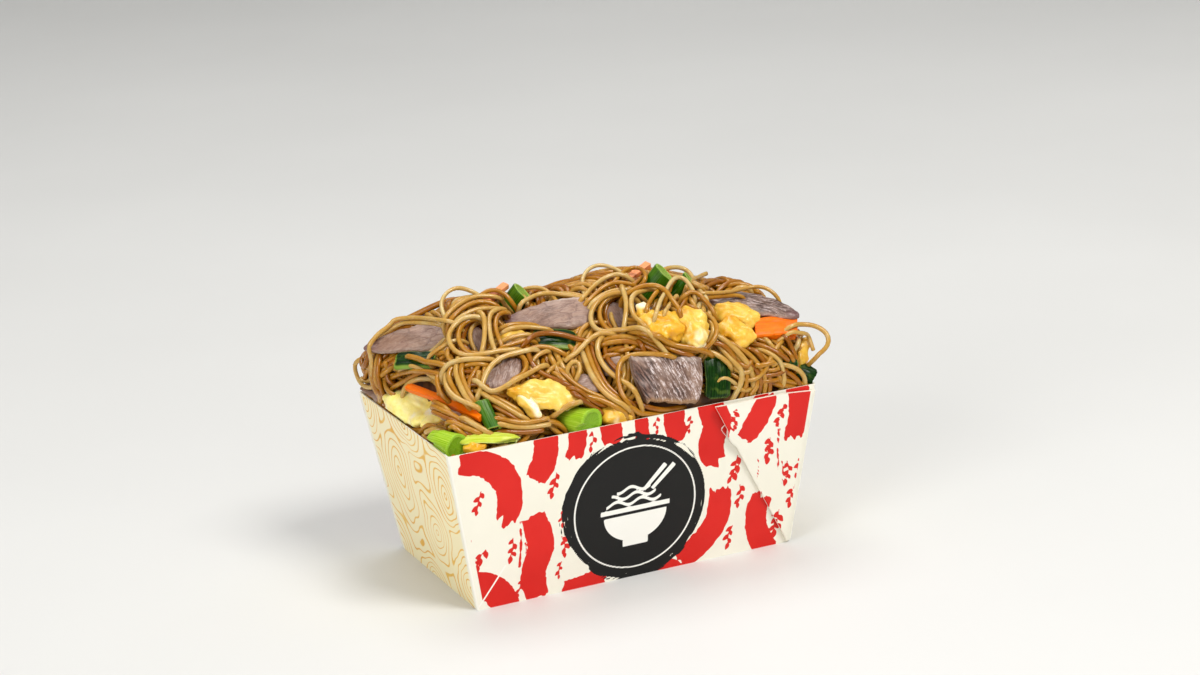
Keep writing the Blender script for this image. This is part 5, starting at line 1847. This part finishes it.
def close_pairs(X, d, sid, pos):
    """pairs of points nearer than d that are not neighbours on one strand"""
    c = np.floor(X / d).astype(np.int64)
    c -= c.min(0) - 2
    ny, nz = c[:, 1].max() + 4, c[:, 2].max() + 4
    key = (c[:, 0] * ny + c[:, 1]) * nz + c[:, 2]
    order = np.argsort(key, kind="stable")
    ks = key[order]
    I, J = [], []
    for dx, dy in ((0, 0), (0, 1), (1, -1), (1, 0), (1, 1)):
        t = key + (dx * ny + dy) * nz
        lo = np.searchsorted(ks, t - 1, "left")
        hi = np.searchsorted(ks, t + 1, "right")
        for k in range(int((hi - lo).max())):
            sel = np.nonzero(lo + k < hi)[0]
            j = order[lo[sel] + k]
            if dx == 0 and dy == 0:
                keep = j > sel
                sel, j = sel[keep], j[keep]
            near = ((X[sel] - X[j]) ** 2).sum(1) < d * d
            sel, j = sel[near], j[near]
            far = (sid[sel] != sid[j]) | (np.abs(pos[sel] - pos[j]) > 3)
            I.append(sel[far])
            J.append(j[far])
    return np.concatenate(I), np.concatenate(J)


def all_blocks():
    blocks = []
    for r in ROWS:
        sizes = [(r["at"], r["along"], r["size"])]
        for at, along, L, W, T in r.get("lobes", ()):
            sizes.append((np.array(at, float), np.array(along, float), (L, W, T)))
        for at, along, size in sizes:
            blocks.append((r["kind"], np.asarray(at, float), frame_of(along, r["up"]), size))
    return blocks


def open_piece(block):
    """the outline of a piece that lies open on the near side, as an ellipse across the line of sight"""
    kind, at, (x, y, z), (L, W, T) = block
    if at[1] > 16 and at[2] < 100:
        return []
    to = unit(EYE - at)
    a = unit(np.cross(UP, to))
    b = np.cross(to, a)
    A = np.stack([[s.dot(a) * h, s.dot(b) * h] for s, h in ((x, L / 2), (y, W / 2), (z, T / 2))], 1)
    A = A * {"beef": 1.12, "stick": 1.15, "tube": 1.06, "leaf": 1.06, "egg": 1.0}[kind]
    c = A @ np.array([x.dot(to) * L / 2, y.dot(to) * W / 2, z.dot(to) * T / 2])
    return [(at, to, a, b, np.linalg.inv(A @ A.T), c)]


def relax(heap, rounds):
    """eases touching strands apart, keeps their curves, and keeps them off the toppings and the tray"""
    n = [len(s) for s in heap.strands]
    X = np.vstack(heap.strands)
    N = len(X)
    sid = np.repeat(np.arange(len(n)), n)
    pos = np.concatenate([np.arange(k) for k in n])
    last = np.repeat(n, n) - 1 - pos
    inner = np.nonzero((pos > 0) & (last > 0))[0]
    lap0 = X[inner] - (X[inner - 1] + X[inner + 1]) / 2
    lap0 = lap0 * 0.92
    X0 = X.copy()
    hero = np.array(heap.hero, bool)[sid]
    cap = np.array(heap.cap, float)[sid]
    give = np.where(hero, 0.12, 1.0)
    rad = np.array(heap.thick, float)[sid]
    dmin = 2.02
    keep_low = np.full(N, 9.0)
    for px, py, pr, pd in NESTS:
        keep_low = np.minimum(keep_low, -3.6 + 3.0 * np.maximum(np.hypot(X[:, 0] - px, (X[:, 1] - py) * 0.85) - 8.0, 0))
    blocks = all_blocks()
    I = J = None
    near = None
    open_pieces = [p for b in blocks for p in open_piece(b)]
    loose = np.nonzero(~hero)[0]
    for it in range(rounds):
        if it % 5 == 0:
            I, J = close_pairs(X, dmin + 1.1, sid, pos)
            near = [np.nonzero(((X - b[1]) ** 2).sum(1) < (max(b[3]) / 2 + 5.0) ** 2)[0] for b in blocks]
        # bends
        lap = X[inner] - (X[inner - 1] + X[inner + 1]) / 2
        X[inner] -= 0.38 * (lap - lap0) * np.where(hero[inner], 0.5, 1.0)[:, None]
        # crossings
        d = X[I] - X[J]
        r = np.sqrt((d ** 2).sum(1)) + 1e-9
        want = (rad[I] + rad[J]) * 0.985
        hit_ = r < want
        a, b, d, r, want = I[hit_], J[hit_], d[hit_], r[hit_], want[hit_]
        push = (d / r[:, None]) * (want - r)[:, None]
        ga, gb = give[a], give[b]
        ga, gb = ga / (ga + gb), gb / (ga + gb)
        cnt = np.bincount(a, minlength=N) + np.bincount(b, minlength=N)
        move = np.zeros_like(X)
        for k in range(3):
            move[:, k] = np.bincount(a, push[:, k] * ga, N) - np.bincount(b, push[:, k] * gb, N)
        X += move * (1.25 / np.maximum(cnt, 1) ** 0.7)[:, None] * 0.8
        # toppings
        for (kind, at, (x, y, z), (L, W, T)), sel in zip(blocks, near):
            if not len(sel):
                continue
            q = X[sel] - at
            u, v, h = q @ x, q @ y, q @ z
            hl, hw, ht = L / 2 - 0.1, W / 2 - 0.1, T / 2 + STRAND_R * 0.85
            f = (np.abs(u / hl) ** 3 + np.abs(v / hw) ** 3) ** (1 / 3) + 1e-6
            inside = (f < 1) & (h > -ht)
            her = hero[sel] & (pos[sel] > 3) & (last[sel] > 3)
            # a strand under the piece stays under; one beside it is pushed aside; a placed one may lie over it
            down = inside & (h < (-0.15 * T)) & ~her
            out = inside & ~down & ~her
            du = np.where(out, u * (1 / f - 1), 0) * 0.5
            dv = np.where(out, v * (1 / f - 1), 0) * 0.5
            wide = np.abs(u / hl) < 0.8
            du = np.where(out & wide, du * 0.25, du)
            dh = np.where(down, (-ht - h) * 0.6, 0)
            dh = dh + np.where(out, -0.25, 0)
            up = inside & her & (np.abs(h) < ht)
            dh = dh + np.where(up, np.where(h > -0.2 * T, ht - h, -ht - h) * 0.5, 0)
            X[sel] += du[:, None] * x + dv[:, None] * y + dh[:, None] * z
        if it < rounds - 6:
            for at, to, a, b, M, c in open_pieces:
                r = X[loose] - at
                w = r @ to
                p = np.stack([r @ a, r @ b], 1)
                f = np.sqrt(np.einsum("ij,jk,ik->i", p, M, p)) + 1e-6
                sel = (f < 1.0) & (w > p @ (M @ c) - 0.4) & (w < 75)
                if sel.any():
                    out = p[sel] * (np.minimum(1.0 / f[sel] - 1, 1.5))[:, None]
                    size = np.linalg.norm(out, axis=1) + 1e-6
                    out *= (np.minimum(size, 0.7) / size)[:, None]
                    X[loose[sel]] += out[:, :1] * a + out[:, 1:] * b - 0.15 * to
        # the heap's surface, the hidden filling and the tray
        lx, ly = lean_of(X[:, 0], X[:, 1], X[:, 2])
        zz, nn = look(X[:, 0] - lx, X[:, 1] - ly, 1)
        o = (X[:, 2] - zz) * nn[:, 2]
        over = np.where(hero, 0, np.maximum(o - np.minimum(cap, keep_low), 0))
        X -= nn * (0.35 * over)[:, None]
        low = np.maximum(-9.2 - o, 0)
        X += nn * (0.5 * low)[:, None]
        z = np.clip(X[:, 2], 1, HIGH)
        room = np.where(X[:, 2] < HIGH + 0.6, 0.0, np.minimum((X[:, 2] - HIGH - 0.6) * 0.5, 1.2))
        far = hero & (X[:, 2] > HIGH + 1.5) & (pos > 4) & (last > 4)
        room = np.where(far, np.where(X[:, 0] > 0, 9.0, 3.2), room)
        side = np.where(far, np.where(X[:, 1] > 0, 2.5, 0.8), room)
        wx = (BASE_L + (TOP_L - BASE_L) * z / HIGH) / 2 - BOARD - STRAND_R - 0.35 + room + np.where(X[:, 2] > HIGH + 6, 3.2, 0)
        wy = (BASE_W + (TOP_W - BASE_W) * z / HIGH) / 2 - BOARD - STRAND_R - 0.35 + side
        X[:, 0] = np.clip(X[:, 0], -wx, wx)
        X[:, 1] = np.clip(X[:, 1], -wy, wy)
        if it % 3 == 0:      # heroes keep to their places
            X[hero] += 0.10 * (X0[hero] - X[hero])
    # a last light smoothing
    for _ in range(2):
        X[inner] += 0.22 * ((X[inner - 1] + X[inner + 1]) / 2 - X[inner])
    cuts = np.cumsum(n)[:-1]
    return np.split(X, cuts), X, sid, pos, dmin


def tube_mesh(name, strands, tones, radii, sides, step):
    """round strands with rounded ends, as one mesh"""
    co, quads, tris, tone, along = [], [], [], [], []
    base = 0
    ang = 2 * np.pi * np.arange(sides) / sides
    ca, sa = np.cos(ang), np.sin(ang)
    for k, S in enumerate(strands):
        P = spline(S, step)
        m = len(P)
        T = unit(np.gradient(P, axis=0))
        ref = np.zeros((m, 3))
        u = np.cross(T[0], [0.3, 0.2, 1.0])
        if np.linalg.norm(u) < 0.1:
            u = np.cross(T[0], [1.0, 0, 0])
        u = u / np.linalg.norm(u)
        for i in range(m):
            u = u - T[i] * (u @ T[i])
            u = u / np.linalg.norm(u)
            ref[i] = u
        V = np.cross(T, ref)
        s = np.arange(m) * step
        rad = radii[k] * (1 + 0.035 * noise2(s / 6.0 + 3.1 * k, np.full(m, 0.5), 5) + 0.02 * noise2(s / 2.0, np.full(m, k + 0.5), 6))
        flat = 0.06 * math.sin(k * 1.7)
        ring = P[:, None] + rad[:, None, None] * ((1 + flat) * ca[None, :, None] * ref[:, None] + (1 - flat) * sa[None, :, None] * V[:, None])
        e0 = P[0] - T[0] * rad[0] * 0.30 + 0.70 * (ring[0] - P[0])
        e1 = P[-1] + T[-1] * rad[-1] * 0.30 + 0.70 * (ring[-1] - P[-1])
        ring = np.concatenate([e0[None], ring, e1[None]])
        mm = m + 2
        co.append(ring.reshape(-1, 3))
        co.append((P[0] - T[0] * rad[0] * 0.42)[None])
        co.append((P[-1] + T[-1] * rad[-1] * 0.42)[None])
        idx = base + np.arange(mm * sides).reshape(mm, sides)
        a, b = idx[:-1], np.roll(idx, -1, 1)[:-1]
        c, d = np.roll(idx, -1, 1)[1:], idx[1:]
        quads.append(np.stack([a, b, c, d], -1).reshape(-1, 4))
        tip = base + mm * sides
        tris.append(np.stack([np.full(sides, tip), np.roll(idx[0], -1), idx[0]], -1))
        tris.append(np.stack([np.full(sides, tip + 1), idx[-1], np.roll(idx[-1], -1)], -1))
        tn = tones[k] + 0.10 * noise2(np.r_[0, s, s[-1]] / 14.0 + 7.7 * k, np.full(mm, 0.5), 8)
        tone.append(np.repeat(tn, sides))
        tone.append(np.array([tn[0], tn[-1]]))
        al = np.r_[0, s, s[-1]] + 31.7 * k
        along.append(np.stack([np.repeat(al, sides), np.tile(ang * 1.0, mm), np.full(mm * sides, k * 0.37)], -1))
        along.append(np.array([[al[0], 0, k * 0.37], [al[-1], 0, k * 0.37]]))
        base += mm * sides + 2
    q, t = np.vstack(quads), np.vstack(tris)
    assert 2 * len(q) + len(t) < 198000, (name, 2 * len(q) + len(t))
    print(name, len(strands), "strands", 2 * len(q) + len(t), "triangles")
    return make_mesh(name, np.vstack(co), q, t, attrs={"tone": np.concatenate(tone), "v_loc": np.vstack(along)})


def noodle_material(name, sss=0.22):
    m = Mat(name)
    loc = m.node("ShaderNodeAttribute", attribute_name="v_loc").outputs["Vector"]
    tone = m.attr("tone")
    slow = m.noise(m.scaled(loc, (0.16, 0.0, 1.0)), 1.0, 2.0)
    fine = m.noise(m.scaled(loc, (0.9, 0.9, 1.0)), 1.0, 3.0, 0.6)
    pos = m.coord()
    oil = m.noise(pos, 150.0, 2.0)
    t = m.math("ADD", tone, m.range(slow, 0.25, 0.75, -0.12, 0.12))
    t = m.math("ADD", t, m.range(fine, 0.25, 0.75, -0.05, 0.05))
    col = m.ramp(t, [(0.0, rgb(116, 60, 0)), (0.30, rgb(144, 83, 0)), (0.55, rgb(174, 119, 23)),
                     (0.80, rgb(192, 151, 73)), (1.0, rgb(203, 179, 122))])
    m.set(color=col, rough=m.range(oil, 0.3, 0.7, 0.16, 0.32), spec=0.38, sss=sss, sss_scale=0.0016,
          sss_radius=(1.0, 0.55, 0.2), coat=0.22, coat_rough=0.10, normal=m.bump(fine, 0.2, 0.0003))
    return m.m


def make_core():
    """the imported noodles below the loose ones: a closed filling whose top is ridged like strands"""
    count, rings_n = ((300, 76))
    def outline(z, inset):
        hx = (BASE_L + (TOP_L - BASE_L) * z / HIGH) / 2 - inset
        hy = (BASE_W + (TOP_W - BASE_W) * z / HIGH) / 2 - inset
        t = 2 * np.pi * (np.arange(count) + 0.5) / count
        c, s = np.cos(t), np.sin(t)
        k = (np.abs(c) ** 14 + np.abs(s) ** 14) ** (-1 / 14)
        return np.stack([hx * k * c, hy * k * s, np.full(count, z)], -1)
    rings = [outline(0.85, 1.0), outline(20, 1.0), outline(40, 1.0), outline(50, 1.2)]
    edge = outline(58, 1.8)
    for s in np.r_[1.0, 0.985, np.linspace(0.965, 0.02, rings_n)]:
        x, y = edge[:, 0] * s, edge[:, 1] * s
        z, n = look(x, y, 1)
        f = 2.6 * noise2(x / 17, y / 15, 51) + 1.2 * noise2(x / 7.5, y / 7, 52) + y / 9.0
        ridge = np.sqrt(np.abs(np.sin(f * 7.0)))
        hidden = np.maximum(sm((x - 52) / 12), sm((y - 12) / 14))
        drop = (7.8 - 1.6 * hidden) * np.minimum(1 / np.maximum(n[:, 2], 0.5), 1.7) - 1.1 * ridge
        wall = np.minimum(TOP_L / 2 - BOARD - np.abs(x), TOP_W / 2 - BOARD - np.abs(y))
        z = z - hidden * np.maximum(z - drop - 55.5 - 2.3 * wall, 0)
        zz = np.maximum(z - drop, 55.5 + 0.6 * ridge)
        lx, ly = lean_of(x, y, zz)
        # nothing of it comes through a wall below the rim
        hx = np.where(zz < 67, (BASE_L + (TOP_L - BASE_L) * zz / HIGH) / 2 - 1.2, 90)
        hy = np.where(zz < 67, (BASE_W + (TOP_W - BASE_W) * zz / HIGH) / 2 - 1.2, 60)
        rings.append(np.stack([np.clip(x + 0.6 * lx, -hx, hx), np.clip(y + ly * 0.5, -hy, hy), zz], -1))
    P = np.array(rings)
    top = P[4:].reshape(-1, 3).copy()
    for _ in range(20):
        low = np.zeros(len(top), bool)
        for block in all_blocks():
            for at, to, a, b, M, c in open_piece(block):
                near = np.nonzero(top[:, 2] > 56.6)[0]
                r = top[near] - at
                w = r @ to
                p = np.stack([r @ a, r @ b], 1)
                f = np.sqrt(np.einsum("ij,jk,ik->i", p, M, p))
                low[near[(f < 1.12) & (w > p @ (M @ c) - 0.35 * min(block[3][2], 6.0)) & (w < 90)]] = True
        if not low.any():
            break
        top[low, 2] = np.maximum(top[low, 2] - 1.4, 56.0)
    P[4:] = top.reshape(P[4:].shape)
    bits = Bits()
    bits.add(P, tone=0.18 + 0.2 * np.clip(noise2(P[..., 0] / 9, P[..., 1] / 9, 4), -1, 1))
    ob = bits.make("packed_noodles")
    m = Mat("packed_noodles")
    pos = m.coord()
    g = m.noise(pos, 300.0, 3.0, 0.6, 0.5)
    t = m.math("ADD", m.attr("tone"), m.range(g, 0.3, 0.7, -0.12, 0.16))
    m.set(color=m.ramp(t, [(0.0, rgb(62, 34, 12)), (0.5, rgb(118, 72, 28)), (1.0, rgb(168, 112, 54))]),
          rough=m.range(g, 0.3, 0.7, 0.35, 0.55), normal=m.bump(g, 0.4, 0.0008))
    ob.data.materials.append(m.m)
    return finish_piece(ob, ["noodles"])


def make_noodles():
    rng = np.random.default_rng(2417)
    heap = Heap()
    total = 0.0
    for k in range(84):      # the sides of the heap down to the rim
        start, head = rim_start(k + 1, rng)
        path = walk(rng, start, head, rng.uniform(34, 88), rng.choice([-1, 1]) * rng.uniform(0.004, 0.03), 0.05,
                    (72.5, 43.0), (75.3, 45.6))
        many = int(rng.integers(2, 5))
        for j in range(many):
            xy = path[int(rng.integers(0, 4)):len(path) - int(rng.integers(0, 4))]
            if len(xy) < 7:
                continue
            s = np.arange(len(xy)) * 2.0
            lateral = (j - (many - 1) / 2) * 2.3 + 1.2 * noise2(s / 15.0 + 7 * j + 3 * k, np.full(len(s), 0.5), 21)
            cap = 0.3 + 1.2 * rng.random()
            P = heap.lay(xy, lateral, rng, (rng.random() < 0.9, rng.random() < 0.9), cap)
            heap.add(spline(P, 2.0), float(np.clip(rng.normal(0.56, 0.13), 0.25, 0.9)), False, cap, rng.uniform(0.86, 1.04))
    for k in range(136):
        P = wall_strand(k + 1, rng)
        heap.add(spline(P, 2.0), float(np.clip(rng.normal(0.52, 0.12), 0.25, 0.85)), False, 1.2, rng.uniform(0.86, 1.04))
    target = 15500.0
    b = 0
    while total < target:
        share = total / target
        # starts spread evenly over the heap by a low-discrepancy pair
        b += 1
        gx, gy = (b * 0.754877666) % 1.0, (b * 0.569840291) % 1.0
        x0, y0 = (gx * 2 - 1) * 71.0, (gy * 2 - 1) * 42.5
        many = int(rng.integers(2, 6))
        length = rng.uniform(38, 120) if rng.random() < 0.8 else rng.uniform(20, 40)
        tight = rng.random() < 0.30
        kappa = rng.choice([-1, 1]) * (rng.uniform(0.06, 0.12) if tight else rng.uniform(0.006, 0.045))
        if tight:
            length = rng.uniform(30, 75)
        path = walk(rng, (x0, y0), flow(x0, y0, rng), length, kappa, 0.05)
        if len(path) < 8:
            continue
        base_tone = (0.34 + 0.40 * share) + rng.normal(0, 0.10)
        cap = 0.2 + 1.6 * rng.random() ** 2
        for k in range(many):
            i0 = int(rng.integers(0, max(1, len(path) // 5)))
            i1 = len(path) - int(rng.integers(0, max(1, len(path) // 5)))
            xy = path[i0:i1]
            if len(xy) < 7:
                continue
            s = np.arange(len(xy)) * 2.0
            lateral = (k - (many - 1) / 2) * 2.35 + 1.3 * noise2(s / 17.0 + 9 * k + 5 * b, np.full(len(s), 0.5), 11)
            tuck = (rng.random() < 0.85, rng.random() < 0.85)
            P = heap.lay(xy, lateral, rng, tuck, cap)
            heap.add(spline(P, 2.0), float(np.clip(base_tone + rng.normal(0, 0.06), 0.22, 0.98)), False, cap,
                      rng.uniform(0.88, 1.06))
            total += len(xy) * 2.0
    for tone, lift, pits, tuck, thick, others, points in HEROES:
        heap.add(hero_strand(lift, pits, points, tuck), tone, True, 9.0, thick * 1.07)
        for shift in others:
            heap.add(hero_strand(lift - 0.3, pits, points, tuck, shift), tone - 0.1, True, 9.0, thick * 1.07)
    strands, X, sid, pos, dmin = relax(heap, 120)
    I, J = close_pairs(X, dmin, sid, pos)
    print("strand length m", round(sum(len(s) for s in strands) * 2.0 / 1000, 1), "points", len(X),
          "contacts nearer than a strand", len(I),
          "deep", int((((X[I] - X[J]) ** 2).sum(1) < (dmin * 0.6) ** 2).sum()))
    kinds = {"noodles_pale": [], "noodles_golden": [], "noodles_honey": [], "noodles_amber": []}
    for k, s in enumerate(strands):
        tone = heap.kind[k]
        kinds["noodles_pale" if tone > 0.60 else "noodles_golden" if tone > 0.53
              else "noodles_honey" if tone > 0.43 else "noodles_amber"].append(k)
    for name, ks in kinds.items():
        radii = [heap.thick[k] for k in ks]
        ob = tube_mesh(name, [strands[k] for k in ks], [heap.kind[k] for k in ks], radii,
                       8, 1.5)
        ob.data.materials.append(noodle_material(name))
        finish_piece(ob)


make_core()
make_noodles()
